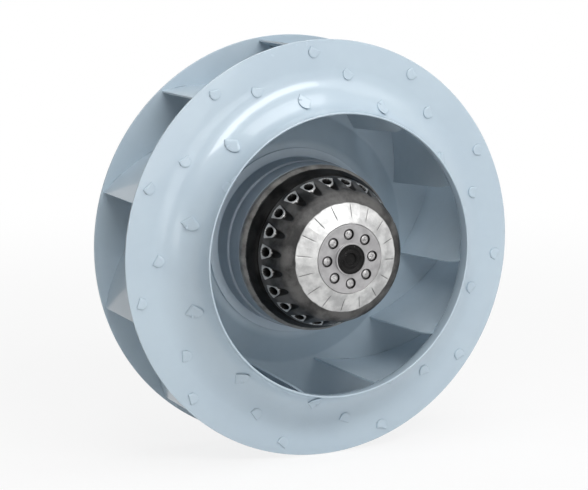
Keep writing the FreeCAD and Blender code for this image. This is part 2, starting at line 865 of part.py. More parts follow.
# Ball bearings, one at each end of the bearing tube.
def make_bearing(place, rear):
    pitch = (size.shaft_radius + size.bearing_radius) / 2
    middle = rear + size.bearing_width / 2
    front = rear + size.bearing_width
    name = place + "_bearing"
    groove_radius = size.ball_radius + size.ball_gap

    inner_blank = washer(name + "_inner_blank", size.shaft_radius, size.ring_land_inner,
                         rear, front)
    inner_groove = torus(name + "_inner_groove", pitch, groove_radius, z=middle, turn=45)
    piece(cut(name + "_inner", inner_blank, inner_groove), name + "_inner_ring")

    outer_blank = washer(name + "_outer_blank", size.ring_land_outer, size.bearing_radius,
                         rear, front)
    outer_groove = torus(name + "_outer_groove", pitch, groove_radius, z=middle, turn=45)
    piece(cut(name + "_outer", outer_blank, outer_groove), name + "_outer_ring")

    one_ball = ball(name + "_one_ball", size.ball_radius, x=pitch, z=middle)
    piece(ring(name + "_balls_piece", one_ball, size.ball_count), name + "_balls")

    cage_blank = washer(name + "_cage_blank", size.ring_land_inner + size.cage_gap,
                        size.ring_land_outer - size.cage_gap,
                        middle - size.cage_width / 2, middle + size.cage_width / 2)
    seat = ball(name + "_ball_seat", size.ball_radius + size.ball_gap * 2, x=pitch, z=middle)
    seats = ring(name + "_ball_seats", seat, size.ball_count)
    piece(cut(name + "_cage_piece", cage_blank, seats), name + "_cage")

    shield_bore = size.ring_land_inner + size.cage_gap
    edge = size.shield_gauge
    rear_shield = washer(name + "_rear_shield", shield_bore, size.ring_land_outer,
                         rear + edge, rear + edge * 2)
    front_shield = washer(name + "_front_shield", shield_bore, size.ring_land_outer,
                          front - edge * 2, front - edge)
    piece(group(name + "_shields_piece", rear_shield, front_shield), name + "_shields")


# Stator.
def make_flange():
    bore = size.bearing_radius
    shoulder = size.rear_bearing + size.bearing_width + size.spring_height
    front_seat = size.front_bearing
    clip_rear = size.front_bearing + size.bearing_width
    clip_front = clip_rear + size.circlip_gauge
    clip_bottom = bore + size.circlip_depth
    cap_seat = size.pad_relief + size.cap_height
    blank = turned("flange_blank", [
        (size.cap_radius, size.pad_relief),
        (size.pad_inner_radius, size.pad_relief),
        (size.pad_inner_radius, 0),
        (size.flange_radius, 0, size.flange_edge),
        (size.flange_radius, size.flange_gauge, size.flange_edge),
        (size.tube_radius, size.flange_gauge, size.tube_fillet),
        (size.tube_radius, size.tube_front),
        (bore, size.tube_front),
        (bore, clip_front),
        (clip_bottom, clip_front),
        (clip_bottom, clip_rear),
        (bore, clip_rear),
        (bore, front_seat),
        (size.tube_bore, front_seat),
        (size.tube_bore, shoulder),
        (bore, shoulder),
        (bore, cap_seat),
        (size.cap_radius, cap_seat),
    ])
    hole = cylinder("mount_hole", size.mount_hole_radius, size.mount_hole_depth,
                    x=size.mount_circle)
    tip = cone("mount_hole_tip", size.mount_hole_radius, 0, size.mount_hole_radius / 2,
               x=size.mount_circle, z=size.mount_hole_depth)
    drilled = fuse("mount_drilling", hole, tip)
    half_step = dim(FULL_TURN / 2) / size.mount_count
    holes = ring("mount_holes", drilled, size.mount_count, half_step)
    holed = cut("flange_holed", blank, holes)
    entry = cylinder("cable_entry", size.gland_thread_radius, size.flange_gauge * 2,
                     y=size.gland_from_axis * -1)
    piece(cut("stator_flange_piece", holed, entry), "stator_flange")

    clip = washer("bearing_circlip_ring", clip_bottom - size.circlip_height, clip_bottom,
                  clip_rear, clip_front)
    gap = box("bearing_circlip_gap", size.flange_radius, size.circlip_gap, size.bearing_width,
              y=size.circlip_gap * -0.5, z=clip_rear - size.circlip_gauge)
    piece(cut("bearing_circlip_piece", clip, gap), "bearing_circlip")

    # a coned spring: its small edge bears on the outer ring, its large edge on the shoulder
    spring_rear = size.rear_bearing + size.bearing_width
    spring_bore = size.ring_land_outer + size.cage_gap
    spring_edge = bore - size.spring_fit
    spring = turned("preload_spring", [
        (spring_bore, spring_rear),
        (spring_edge, shoulder - size.spring_gauge),
        (spring_edge, shoulder),
        (spring_bore, spring_rear + size.spring_gauge),
    ])
    piece(spring, "preload_spring")

    cap = turned("rear_cap", [
        (0, size.pad_relief),
        (size.cap_radius, size.pad_relief, size.cap_corner),
        (size.cap_radius, cap_seat),
        (size.cap_radius - size.cap_gauge, cap_seat),
        (size.cap_radius - size.cap_gauge, size.pad_relief + size.cap_gauge),
        (0, size.pad_relief + size.cap_gauge),
    ])
    piece(cap, "rear_cap")


def slot_cutter(name, inset):
    # the shape of a stator slot, drawn in the plane of the laminations
    body = doc.addObject("PartDesign::Body", name)
    low = size.slot_half_bottom - inset
    high = size.slot_half_top - inset
    mouth = size.slot_mouth
    points = [
        (size.slot_bottom + inset, low * -1),
        (size.slot_top - inset, high * -1),
        (size.slot_top - inset, high),
        (size.slot_bottom + inset, low),
    ]
    if dim(inset).number == 0:
        beyond = size.core_radius * 2 - size.slot_top
        points[2:2] = [(size.slot_top, mouth * -1), (beyond, mouth * -1), (beyond, mouth),
                       (size.slot_top, mouth)]
    sketch = outline(body, name + "_outline", points, "XY_Plane")
    pad = body.newObject("PartDesign::Pad", name + "_pad")
    pad.Profile = sketch
    bind(pad, "Length", core_front + size.coil_overhang)
    body.Tip = pad
    return body


def make_stator_core():
    cutter = ring("core_slots", slot_cutter("core_slot", 0), size.slot_count)
    edge = size.insulator_gauge
    stack = washer("core_blank", size.tube_radius, size.core_radius, size.core_rear, core_front)
    piece(cut("stator_core_piece", stack, cutter), "stator_core")
    inner = size.tube_radius + size.insulator_inset
    outer = size.core_radius - size.insulator_inset
    for place, low in (("rear", size.core_rear - edge), ("front", core_front)):
        blank = washer("insulator_blank_" + place, inner, outer, low, low + edge)
        piece(cut("insulator_piece_" + place, blank, cutter), "insulator_" + place)


def make_winding():
    edge = size.insulator_gauge
    gap = size.coil_gap
    inner = size.slot_bottom + gap
    outer = size.slot_top - gap
    rounding = size.coil_round
    rear_seat = size.core_rear - edge
    front_seat = core_front + edge
    rear_end = rear_seat - size.coil_overhang
    front_end = front_seat + size.coil_overhang
    rear_coil = turned("rear_coil", [
        (inner, rear_seat),
        (inner, rear_end, rounding),
        (outer, rear_end, rounding),
        (outer, rear_seat),
    ])
    front_coil = turned("front_coil", [
        (inner, front_seat),
        (outer, front_seat),
        (outer, front_end, rounding),
        (inner, front_end, rounding),
    ])
    sides = ring("coil_sides", slot_cutter("coil_side", gap), size.slot_count)
    span = cylinder("coil_span", size.core_radius, core_front - size.core_rear + edge * 4,
                    z=size.core_rear - edge * 2)
    sides_cut = common("coil_sides_cut", sides, span)
    piece(fuse("stator_winding_piece", rear_coil, front_coil, sides_cut), "stator_winding")


def make_gland():
    # the cable entry in the relief of the mounting face: body, dome nut and seal, no cable
    y = size.gland_from_axis * -1
    seat = size.pad_relief
    hex_rear = seat - size.gland_hex_height
    nut_rear = hex_rear - size.gland_nut_height
    neck_rear = hex_rear - size.gland_neck_length
    bore = size.gland_cable_radius + size.gland_seal_gauge
    neck_radius = bore + size.gland_neck_gauge
    shank = cylinder("gland_shank", size.gland_thread_radius, size.flange_gauge - seat,
                     y=y, z=seat)
    hexagon = doc.addObject("Part::Prism", "gland_hexagon")
    hexagon.Polygon = 6
    bind(hexagon, "Circumradius", size.gland_hex_radius)
    bind(hexagon, "Height", size.gland_hex_height)
    put(hexagon, y=y, z=hex_rear)
    neck = cylinder("gland_neck", neck_radius, size.gland_neck_length, y=y, z=neck_rear)
    solid = fuse("gland_solid", shank, hexagon, neck)
    through = cylinder("gland_through", size.gland_cable_radius + size.gland_cable_fit,
                       size.nose_height, y=y, z=nut_rear)
    seal_room = cylinder("gland_seal_room", bore, size.gland_neck_length, y=y, z=neck_rear)
    piece(cut("gland_body_piece", solid, fuse("gland_hollow", through, seal_room)), "gland_body")

    dome = cone("gland_nut_dome", size.gland_nut_tip_radius, size.gland_nut_radius,
                size.gland_nut_height, y=y, z=nut_rear)
    thread = cylinder("gland_nut_thread", neck_radius, size.gland_neck_length, y=y, z=neck_rear)
    mouth = cylinder("gland_nut_mouth", size.gland_cable_radius + size.gland_cable_fit * 2,
                     size.gland_nut_height, y=y, z=nut_rear)
    piece(cut("gland_nut_piece", dome, fuse("gland_nut_hollow", thread, mouth)), "gland_nut")

    seal = cylinder("gland_seal_solid", bore, size.gland_neck_length, y=y, z=neck_rear)
    seal_bore = cylinder("gland_seal_bore", size.gland_cable_radius, size.gland_nut_height * 2,
                         y=y, z=nut_rear)
    piece(cut("gland_seal_piece", seal, seal_bore), "gland_seal")


make_flange()
make_stator_core()
make_winding()
make_gland()
make_bearing("rear", size.rear_bearing)
make_bearing("front", size.front_bearing)
make_shaft()
make_rotor_core()
make_rotor_shell()
make_hub_disc()
make_rivets()
make_plug()
make_sleeve()
make_plates()
make_blades()

doc.recompute()


def check_document():
    for obj in doc.Objects:
        if "Invalid" in obj.State or "Error" in obj.State:
            raise RuntimeError("%s did not build: %s" % (obj.Name, obj.State))
    for obj in pieces:
        if obj.Shape.isNull() or not obj.Shape.isValid() or not obj.Shape.Solids:
            raise RuntimeError("%s has no valid shape" % obj.Label)


check_document()
os.makedirs("parts", exist_ok=True)
for obj in pieces:
    obj.Shape.exportStep(os.path.join("parts", obj.Label + ".step"))
    print("%-24s solids %3d  volume %10.1f" % (obj.Label, len(obj.Shape.Solids), obj.Shape.Volume))
print("pieces", len(pieces))
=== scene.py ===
from math import atan2, cos, degrees, exp, hypot, pi, radians, sin, sqrt, tan
import bpy
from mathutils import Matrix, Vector, noise


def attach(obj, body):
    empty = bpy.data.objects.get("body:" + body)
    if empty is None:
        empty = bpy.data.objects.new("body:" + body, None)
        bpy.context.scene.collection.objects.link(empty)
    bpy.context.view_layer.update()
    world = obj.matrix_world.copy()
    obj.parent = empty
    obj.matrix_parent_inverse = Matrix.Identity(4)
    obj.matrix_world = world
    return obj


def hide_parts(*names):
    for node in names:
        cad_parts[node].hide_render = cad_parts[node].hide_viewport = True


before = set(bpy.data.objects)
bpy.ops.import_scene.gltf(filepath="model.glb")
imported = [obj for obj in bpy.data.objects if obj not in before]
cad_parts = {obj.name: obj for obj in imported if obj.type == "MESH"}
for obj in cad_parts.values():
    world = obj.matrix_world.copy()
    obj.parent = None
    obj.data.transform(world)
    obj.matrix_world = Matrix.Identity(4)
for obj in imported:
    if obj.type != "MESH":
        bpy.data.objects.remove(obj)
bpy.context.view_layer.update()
print("frame loaded:", len(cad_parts), "nodes")

mm = 0.001
fullTurn = 2 * pi
scene = bpy.context.scene
scene.view_settings.view_transform = "Standard"

# Heights run forward from the mounting face, in millimetres. The fan's axis is Y and the inlet
# faces -Y, so a height of h lies at y = -h. Turns are angles about the axis, in radians.


def polar(radius, turn):
    # a place across the fan's axis, as its x and its z
    return Vector((radius * cos(turn), radius * sin(turn)))


def lifted(place, height):
    return Vector((place.x, -height, place.y)) * mm


def srgb(red, green, blue):
    def linear(value):
        value = value / 255
        return value / 12.92 if value <= 0.04045 else ((value + 0.055) / 1.055) ** 2.4
    return (linear(red), linear(green), linear(blue), 1.0)


def easeStep(low, high, value):
    share = max(0.0, min(1.0, (value - low) / (high - low)))
    return share * share * (3 - 2 * share)


def softMax(one, two, blend):
    reach = max(blend - abs(one - two), 0.0) / blend
    return max(one, two) + reach * reach * blend / 4


def softMin(one, two, blend):
    return -softMax(-one, -two, blend)


def fromNearest(angle, first, pitch):
    # the angle from the nearest of evenly spaced places, one of which lies at first
    return (angle - first + pitch / 2) % pitch - pitch / 2


def addObject(name, data):
    made = bpy.data.objects.new(name, data)
    scene.collection.objects.link(made)
    return made


def newMesh(name, points, faces):
    mesh = bpy.data.meshes.new(name)
    mesh.from_pydata([tuple(p) for p in points], [], faces)
    return mesh


# shader helpers

def emptyTree(owner):
    owner.use_nodes = True
    owner.node_tree.nodes.clear()
    return owner.node_tree


def newNode(tree, kind, inputs, **settings):
    # a plain input is set on its socket, and another socket is linked to it
    node = tree.nodes.new(kind)
    for label, value in settings.items():
        setattr(node, label, value)
    for label, value in inputs.items():
        if isinstance(value, (tuple, int, float)):
            node.inputs[label].default_value = value
        else:
            tree.links.new(value, node.inputs[label])
    return node


def mathNode(tree, operation, *values, clampIt=False):
    inputs = dict(enumerate(values))
    return newNode(tree, "ShaderNodeMath", inputs, operation=operation, use_clamp=clampIt).outputs[0]


def objectPlace(tree):
    return newNode(tree, "ShaderNodeTexCoord", {}).outputs["Object"]


def placeParts(tree):
    return newNode(tree, "ShaderNodeSeparateXYZ", {0: objectPlace(tree)}).outputs


def storedValue(tree, label):
    return newNode(tree, "ShaderNodeAttribute", {}, attribute_name=label).outputs["Fac"]


def noiseNode(tree, scale, detail=4.0, roughness=0.55, vector=None):
    inputs = {"Scale": scale, "Detail": detail, "Roughness": roughness,
              "Vector": objectPlace(tree) if vector is None else vector}
    return newNode(tree, "ShaderNodeTexNoise", inputs).outputs["Fac"]


def mixNode(tree, factor, one, two, kind="RGBA"):
    # each kind of value has its own sockets on the mix node
    first, result = {"RGBA": (6, 2), "FLOAT": (2, 0)}[kind]
    inputs = {0: factor, first: one, first + 1: two}
    return newNode(tree, "ShaderNodeMix", inputs, data_type=kind).outputs[result]


def bandNode(tree, value, low, high, least=0.0):
    # the least below low, 1 above high, smooth between
    inputs = {"Value": value, "From Min": low, "From Max": high, "To Min": least}
    return newNode(tree, "ShaderNodeMapRange", inputs, interpolation_type="SMOOTHSTEP").outputs["Result"]


def shaderMix(tree, factor, one, two):
    return newNode(tree, "ShaderNodeMixShader", {0: factor, 1: one, 2: two}).outputs[0]


# camera and light

cameraSet = {
    "place": (-0.91532, -2.04202, 0.35274),
    "tilt": -9.30,
    "pan": -24.70,
    "lens": 122.4,
    "sensor": 36.0,
}


def makeCamera():
    lens = bpy.data.cameras.new("viewCamera")
    lens.lens = cameraSet["lens"]
    lens.sensor_width = cameraSet["sensor"]
    camera = addObject("viewCamera", lens)
    camera.location = cameraSet["place"]
    camera.rotation_euler = (radians(90 + cameraSet["tilt"]), 0, radians(cameraSet["pan"]))
    scene.camera = camera


lightSet = {
    "sky": 0.03, "skyColour": (0.94, 0.97, 1.0, 1),
    "noSheen": ("right", "frontRight", "back"),
    "lamps": {
        # name: place, the y on the axis that it aims at, size, power in watts
        "overhead": ((0.0, -0.3, 2.0), -0.1, (1.6, 1.2), 17.0),
        "topStrip": ((-0.1, -1.65, 1.40), -0.1, (1.9, 0.5), 24.0),
        "topRight": ((1.3, -1.3, 1.4), -0.1, (1.2, 1.0), 5.0),
        "topLeft": ((-1.3, -1.4, 1.4), -0.1, (1.2, 1.0), 2.0),
        "frontLeft": ((-1.7, -2.0, 0.12), -0.1, (0.7, 0.5), 2.4),
        "front": ((0.1, -2.9, 0.2), -0.1, (1.6, 1.2), 10.5),
        "frontRight": ((1.7, -2.0, 0.5), -0.1, (1.2, 1.2), 1.0),
        "right": ((2.2, -0.3, 0.4), -0.1, (1.2, 1.2), 6.2),
        "back": ((0.5, 2.9, 1.0), 0.0, (1.8, 1.2), 20.0),
    },
}


def makeLamp(name, place, target, size, power):
    lamp = bpy.data.lights.new(name, "AREA")
    lamp.shape = "RECTANGLE"
    lamp.size, lamp.size_y = size
    lamp.energy = power
    holder = addObject(name, lamp)
    holder.location = place
    aim = Vector((0.0, target, 0.0)) - Vector(place)
    holder.rotation_euler = aim.to_track_quat("-Z", "Y").to_euler()
    holder.visible_glossy = name not in lightSet["noSheen"]


def backdropSeen(tree):
    # 1 for the rays that show the backdrop: those of the camera, of sheen and through glass
    path = newNode(tree, "ShaderNodeLightPath", {}).outputs
    seen = mathNode(tree, "MAXIMUM", path["Is Camera Ray"], path["Is Glossy Ray"])
    return mathNode(tree, "MAXIMUM", seen, path["Is Transmission Ray"])


def makeSky():
    # white wherever it is seen, and a plain level for the light it gives
    scene.world = bpy.data.worlds.new("studio")
    tree = emptyTree(scene.world)
    level = {"Color": lightSet["skyColour"], "Strength": lightSet["sky"]}
    plain = newNode(tree, "ShaderNodeBackground", level)
    white = newNode(tree, "ShaderNodeBackground", {"Color": (1, 1, 1, 1)})
    shown = shaderMix(tree, backdropSeen(tree), plain.outputs[0], white.outputs[0])
    newNode(tree, "ShaderNodeOutputWorld", {0: shown})


floorSet = {"drop": -0.2262, "width": 9.0, "colour": (0.93, 0.93, 0.93, 1), "shadowShare": 0.16,
            "fadeFrom": 0.35, "fadeTo": 1.9}


def makeFloor():
    # white where it is seen, apart from a share of its real shading that fades with distance
    material = bpy.data.materials.new("paleFloor")
    tree = emptyTree(material)
    away = newNode(tree, "ShaderNodeVectorMath", {0: objectPlace(tree)}, operation="LENGTH")
    fade = bandNode(tree, away.outputs["Value"], floorSet["fadeFrom"], floorSet["fadeTo"],
                    1.0 - floorSet["shadowShare"])
    share = mathNode(tree, "MULTIPLY", backdropSeen(tree), fade)
    paper = newNode(tree, "ShaderNodeBsdfDiffuse", {"Color": floorSet["colour"]})
    glow = newNode(tree, "ShaderNodeEmission", {})
    shown = shaderMix(tree, share, paper.outputs[0], glow.outputs[0])
    newNode(tree, "ShaderNodeOutputMaterial", {0: shown})
    half = floorSet["width"] / 2
    drop = floorSet["drop"]
    corners = [(-half, -half, drop), (half, -half, drop), (half, half, drop), (-half, half, drop)]
    mesh = newMesh("floorSheet", corners, [(0, 1, 2, 3)])
    mesh.materials.append(material)
    floor = addObject("floorSheet", mesh)


makeCamera()
makeSky()
for lampName, lampSet in lightSet["lamps"].items():
    makeLamp(lampName, *lampSet)
makeFloor()
print("camera, light and floor set")


# shared effects, as node groups

def newGroup(name, inputs, outputs):
    group = bpy.data.node_groups.new(name, "ShaderNodeTree")
    for way, labels in (("INPUT", inputs), ("OUTPUT", outputs)):
        for label in labels:
            kind = "NodeSocketColor" if label in ("Colour", "Shade") else "NodeSocketFloat"
            group.interface.new_socket(name=label, in_out=way, socket_type=kind)
    given = group.nodes.new("NodeGroupInput").outputs
    made = group.nodes.new("NodeGroupOutput").inputs
    return group, given, made


def makeToneGroup():
    # clouds two near colours into each other, and clouds the roughness with them
    inputs = ("Colour", "Shade", "Scale", "RoughLow", "RoughHigh")
    group, given, made = newGroup("toneClouds", inputs, ("Colour", "Roughness"))
    cloud = noiseNode(group, given["Scale"], 5.0, 0.6)
    spread = bandNode(group, cloud, 0.34, 0.66)
    group.links.new(mixNode(group, spread, given["Colour"], given["Shade"]), made["Colour"])
    span = mathNode(group, "SUBTRACT", given["RoughHigh"], given["RoughLow"])
    lift = mathNode(group, "MULTIPLY", span, cloud)
    group.links.new(mathNode(group, "ADD", given["RoughLow"], lift), made["Roughness"])
    return group


def makeGrainGroup():
    # the small relief of a surface: a fine grain on a broader ripple
    group, given, made = newGroup("fineGrain", ("FineScale", "BroadScale", "BroadShare"), ("Height",))
    fine = noiseNode(group, given["FineScale"], 3.0, 0.6)
    broad = noiseNode(group, given["BroadScale"], 2.0, 0.5)
    part = mathNode(group, "MULTIPLY", broad, given["BroadShare"])
    group.links.new(mathNode(group, "ADD", fine, part), made["Height"])
    return group


def makeSpeckGroup():
    # sparse small specks, for dust, chips and pores
    group, given, made = newGroup("speckMask", ("Scale", "Cover"), ("Mask",))
    grain = noiseNode(group, given["Scale"], 2.0, 0.7)
    edge = mathNode(group, "SUBTRACT", 1.0, given["Cover"])
    over = mathNode(group, "SUBTRACT", grain, edge)
    group.links.new(mathNode(group, "MULTIPLY", over, 9.0, clampIt=True), made["Mask"])
    return group


def makeWearGroup():
    # breaks a painted mask into patchy wear
    group, given, made = newGroup("patchyWear", ("Place", "Scale", "Amount"), ("Mask",))
    patch = noiseNode(group, given["Scale"], 6.0, 0.68)
    lift = mathNode(group, "MULTIPLY", given["Place"], given["Amount"])
    worn = bandNode(group, mathNode(group, "ADD", patch, lift), 0.78, 0.92)
    group.links.new(worn, made["Mask"])
    return group


def makeTurnedGroup():
    # fine rings about the fan's axis, left by a lathe
    group, given, made = newGroup("turnedRings", ("Pitch",), ("Height",))
    parts = placeParts(group)
    across = mathNode(group, "MULTIPLY", parts["X"], parts["X"])
    upward = mathNode(group, "MULTIPLY", parts["Z"], parts["Z"])
    radius = mathNode(group, "SQRT", mathNode(group, "ADD", across, upward))
    phase = mathNode(group, "MULTIPLY", radius, given["Pitch"])
    line = newNode(group, "ShaderNodeCombineXYZ", {"X": phase}).outputs[0]
    group.links.new(noiseNode(group, 1.0, 3.0, 0.7, line), made["Height"])
    return group


toneClouds = makeToneGroup()
fineGrain = makeGrainGroup()
speckMask = makeSpeckGroup()
patchyWear = makeWearGroup()
turnedRings = makeTurnedGroup()
print("shared effects made")


def useGroup(tree, group, **values):
    return newNode(tree, "ShaderNodeGroup", values, node_tree=group)


def startMaterial(name, metallic=0.0, coat=0.0):
    material = bpy.data.materials.new(name)
    material.use_nodes = True
    shader = material.node_tree.nodes["Principled BSDF"]
    shader.inputs["Metallic"].default_value = metallic
    shader.inputs["Coat Weight"].default_value = coat
    return material, material.node_tree, shader


def addBump(tree, shader, height, look):
    inputs = {"Strength": look["relief"], "Distance": look["depth"], "Height": height}
    bump = newNode(tree, "ShaderNodeBump", inputs)
    tree.links.new(bump.outputs["Normal"], shader.inputs["Normal"])


def addGrain(tree, shader, look):
    fine, broad = look["grain"]
    grain = useGroup(tree, fineGrain, FineScale=fine, BroadScale=broad, BroadShare=look["broadShare"])
    addBump(tree, shader, grain.outputs["Height"], look)


def toneNode(tree, look):
    low, high = look["rough"]
    return useGroup(tree, toneClouds, Colour=look["colour"], Shade=look["shade"], Scale=look["cloud"],
                    RoughLow=low, RoughHigh=high)


def colourIn(tree, shader, colour, tone):
    tree.links.new(colour, shader.inputs["Base Color"])
    tree.links.new(tone.outputs["Roughness"], shader.inputs["Roughness"])


def lookOf(colour, shade, rough, cloud, relief, **more):
    # a finish: two tones, a range of roughness, the scale of its clouds, its relief, and what is
    # unlike the usual values below
    look = {"metallic": 0.0, "coat": 0.0, "gloss": 0.5, "speckScale": 700.0, "speckCover": 0.3,
            "grain": (900.0, 120.0), "broadShare": 0.5, "depth": 0.0001}
    look.update(colour=srgb(*colour), shade=srgb(*shade), rough=rough, cloud=cloud, relief=relief, **more)
    return look


def plainFinish(name, look):
    material, tree, shader = startMaterial(name, look["metallic"], look["coat"])
    shader.inputs["Specular IOR Level"].default_value = look["gloss"]
    tone = toneNode(tree, look)
    colour = tone.outputs["Colour"]
    if "speck" in look:
        speck = useGroup(tree, speckMask, Scale=look["speckScale"], Cover=look["speckCover"])
        colour = mixNode(tree, speck.outputs["Mask"], colour, look["speck"])
    # painted shade: where a finish has a colour for it, a stored mask darkens the surface towards that colour
    if "dark" in look:
        colour = mixNode(tree, storedValue(tree, "darkPart"), colour, look["dark"])
    colourIn(tree, shader, colour, tone)
    addGrain(tree, shader, look)
    return material


def dress(nodeName, material):
    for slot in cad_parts[nodeName].material_slots:
        slot.material = material


# mesh helpers

meshSet = {"sharp": 32.0, "arcStep": 1.2, "drillCore": 0.001, "drillColumns": 24}


def addPiece(name, points, faces, material, body, sharp=meshSet["sharp"]):
    mesh = newMesh(name, points, faces)
    mesh.materials.append(material)
    mesh.polygons.foreach_set("use_smooth", [True] * len(mesh.polygons))
    mesh.update()
    mesh.set_sharp_from_angle(angle=radians(sharp))
    piece = addObject(name, mesh)
    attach(piece, body)
    return piece


def storeValues(piece, label, values):
    piece.data.attributes.new(label, "FLOAT", "POINT").data.foreach_set("value", values)


def roundedLine(points, steps=6):
    # (radius, height) points; a third value rounds that corner
    line = []
    for index, point in enumerate(points):
        corner = Vector(point[:2])
        if len(point) < 3:
            line.append(corner)
            continue
        bend = point[2]
        before = Vector(points[index - 1][:2]) - corner
        after = Vector(points[(index + 1) % len(points)][:2]) - corner
        half = before.angle(after) / 2
        before.normalize()
        after.normalize()
        reach = bend / tan(half)
        one = corner + before * reach
        two = corner + after * reach
        centre = corner + (before + after).normalized() * bend / sin(half)
        startAngle = atan2(one.y - centre.y, one.x - centre.x)
        sweep = atan2(two.y - centre.y, two.x - centre.x) - startAngle
        sweep = (sweep + pi) % fullTurn - pi
        count = max(steps, int(abs(sweep) * bend / meshSet["arcStep"]))
        for step in range(count + 1):
            line.append(centre + polar(1, startAngle + sweep * step / count) * bend)
    return line


def divided(line, stepOf):
    # the same line with more points, spaced as stepOf says for each of its parts
    rows = []
    for one, two in zip(line, line[1:]):
        count = max(1, int(round((two - one).length / stepOf(one, two))))
        rows += [one + (two - one) * index / count for index in range(count)]
    return rows + [line[-1]]


def ringFaces(columns, rows, closed=False):
    # faces between columns of points round an axis; closed joins the last row to the first
    faces = []
    for column in range(columns):
        after = (column + 1) % columns
        for row in range(rows if closed else rows - 1):
            above = (row + 1) % rows
            faces.append((column * rows + row, column * rows + above,
                          after * rows + above, after * rows + row))
    return faces


def spinLine(line, columns, closed=True, axis=(0.0, 0.0)):
    # turns a (radius, height) line about an axis along Y
    points = []
    for column in range(columns):
        turn = fullTurn * column / columns
        for radius, height in line:
            points.append(Vector((axis[0] + radius * cos(turn), -height,
                                  axis[1] + radius * sin(turn))) * mm)
    return points, ringFaces(columns, len(line), closed)


def turnedPiece(name, points, columns, material, body, closed=True):
    verts, faces = spinLine(roundedLine(points), columns, closed)
    return addPiece(name, verts, faces, material, body)


def carve(piece, tools):
    # takes closed shapes out of a piece and keeps its shading
    mesh = newMesh("tool", *joinParts(tools))
    tool = addObject("tool", mesh)
    cutter = piece.modifiers.new("cut", "BOOLEAN")
    cutter.operation = "DIFFERENCE"
    cutter.solver = "EXACT"
    cutter.object = tool
    graph = bpy.context.evaluated_depsgraph_get()
    carved = bpy.data.meshes.new_from_object(piece.evaluated_get(graph))
    carved.set_sharp_from_angle(angle=radians(meshSet["sharp"]))
    blank = piece.data
    piece.modifiers.clear()
    piece.data = carved
    bpy.data.meshes.remove(blank)
    bpy.data.objects.remove(tool)
    bpy.data.meshes.remove(mesh)


def joinParts(parts):
    points, faces = [], []
    for partPoints, partFaces in parts:
        start = len(points)
        points += partPoints
        faces += [tuple(start + i for i in face) for face in partFaces]
    return points, faces


# impeller

impellerSet = {
    "rim": 226.0, "gauge": 2.0, "plateRear": 29.0, "plateFront": 31.0,
    "shroudRear": 126.0, "shroudFront": 128.0, "throat": 152.4, "lip": 175.0, "flare": 44.0,
    "edge": 0.7, "lipEdge": 0.9, "columns": 288, "steepest": 0.999, "cutFrom": 20.0, "cutTo": 172.0,
    "paint": lookOf((186, 202, 213), (181, 197, 209), (0.22, 0.30), 9.0, 0.08, grain=(1400.0, 160.0),
                    coat=0.45, speck=srgb(172, 187, 198), speckScale=420.0, speckCover=0.27),
    # the same paint a little darker, with darker specks, for the faces inside the wheel: painted shade
    "shadedInnerPaint": lookOf((184, 199, 210), (176, 192, 203), (0.30, 0.42), 11.0, 0.10, grain=(1400.0, 160.0),
                         speck=srgb(150, 165, 177), speckScale=420.0, speckCover=0.28),
}
paleBlue = plainFinish("paleBluePaint", impellerSet["paint"])
shadedPaleBlue = plainFinish("shadedPaleBluePaint", impellerSet["shadedInnerPaint"])


def makeShroud():
    s = impellerSet
    inner = s["throat"] - s["gauge"]
    piece = turnedPiece("inletShroud", [
        (s["rim"], s["shroudRear"], s["edge"]),
        (inner, s["shroudRear"], s["flare"] + s["gauge"]),
        (inner, s["lip"], s["lipEdge"]),
        (s["throat"], s["lip"], s["lipEdge"]),
        (s["throat"], s["shroudFront"], s["flare"]),
        (s["rim"], s["shroudFront"], s["edge"]),
    ], s["columns"], paleBlue, "rotor")
    carve(piece, slotTools())
    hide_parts("shroud")


backSet = {"foot": 93.1, "dishRear": 51.5, "dishFront": 53.5, "dishInner": 110.0, "dishOuter": 142.0,
           "bend": 9.0, "edge": 0.4,
           "jigHole": {"fromAxis": 127.5, "degrees": 270.5, "radius": 2.0, "from": 20.0, "to": 70.0}}


def makeBackPlate():
    s = impellerSet
    b = backSet
    # the back plate takes the darker copy of the paint: painted shade
    piece = turnedPiece("backPlate", [
        (b["foot"], b["dishRear"], b["edge"]),
        (b["dishInner"], b["dishRear"], b["bend"]),
        (b["dishOuter"], s["plateRear"], b["bend"]),
        (s["rim"], s["plateRear"], s["edge"]),
        (s["rim"], s["plateFront"], s["edge"]),
        (b["dishOuter"], s["plateFront"], b["bend"] - s["gauge"]),
        (b["dishInner"], b["dishFront"], b["bend"] + s["gauge"]),
        (b["foot"], b["dishFront"], b["edge"]),
    ], s["columns"], shadedPaleBlue, "rotor")
    hole = b["jigHole"]
    centre = polar(hole["fromAxis"], radians(hole["degrees"]))
    carve(piece, [drill(centre, hole["radius"], hole["from"], hole["to"])] + slotTools())
    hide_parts("back_plate")


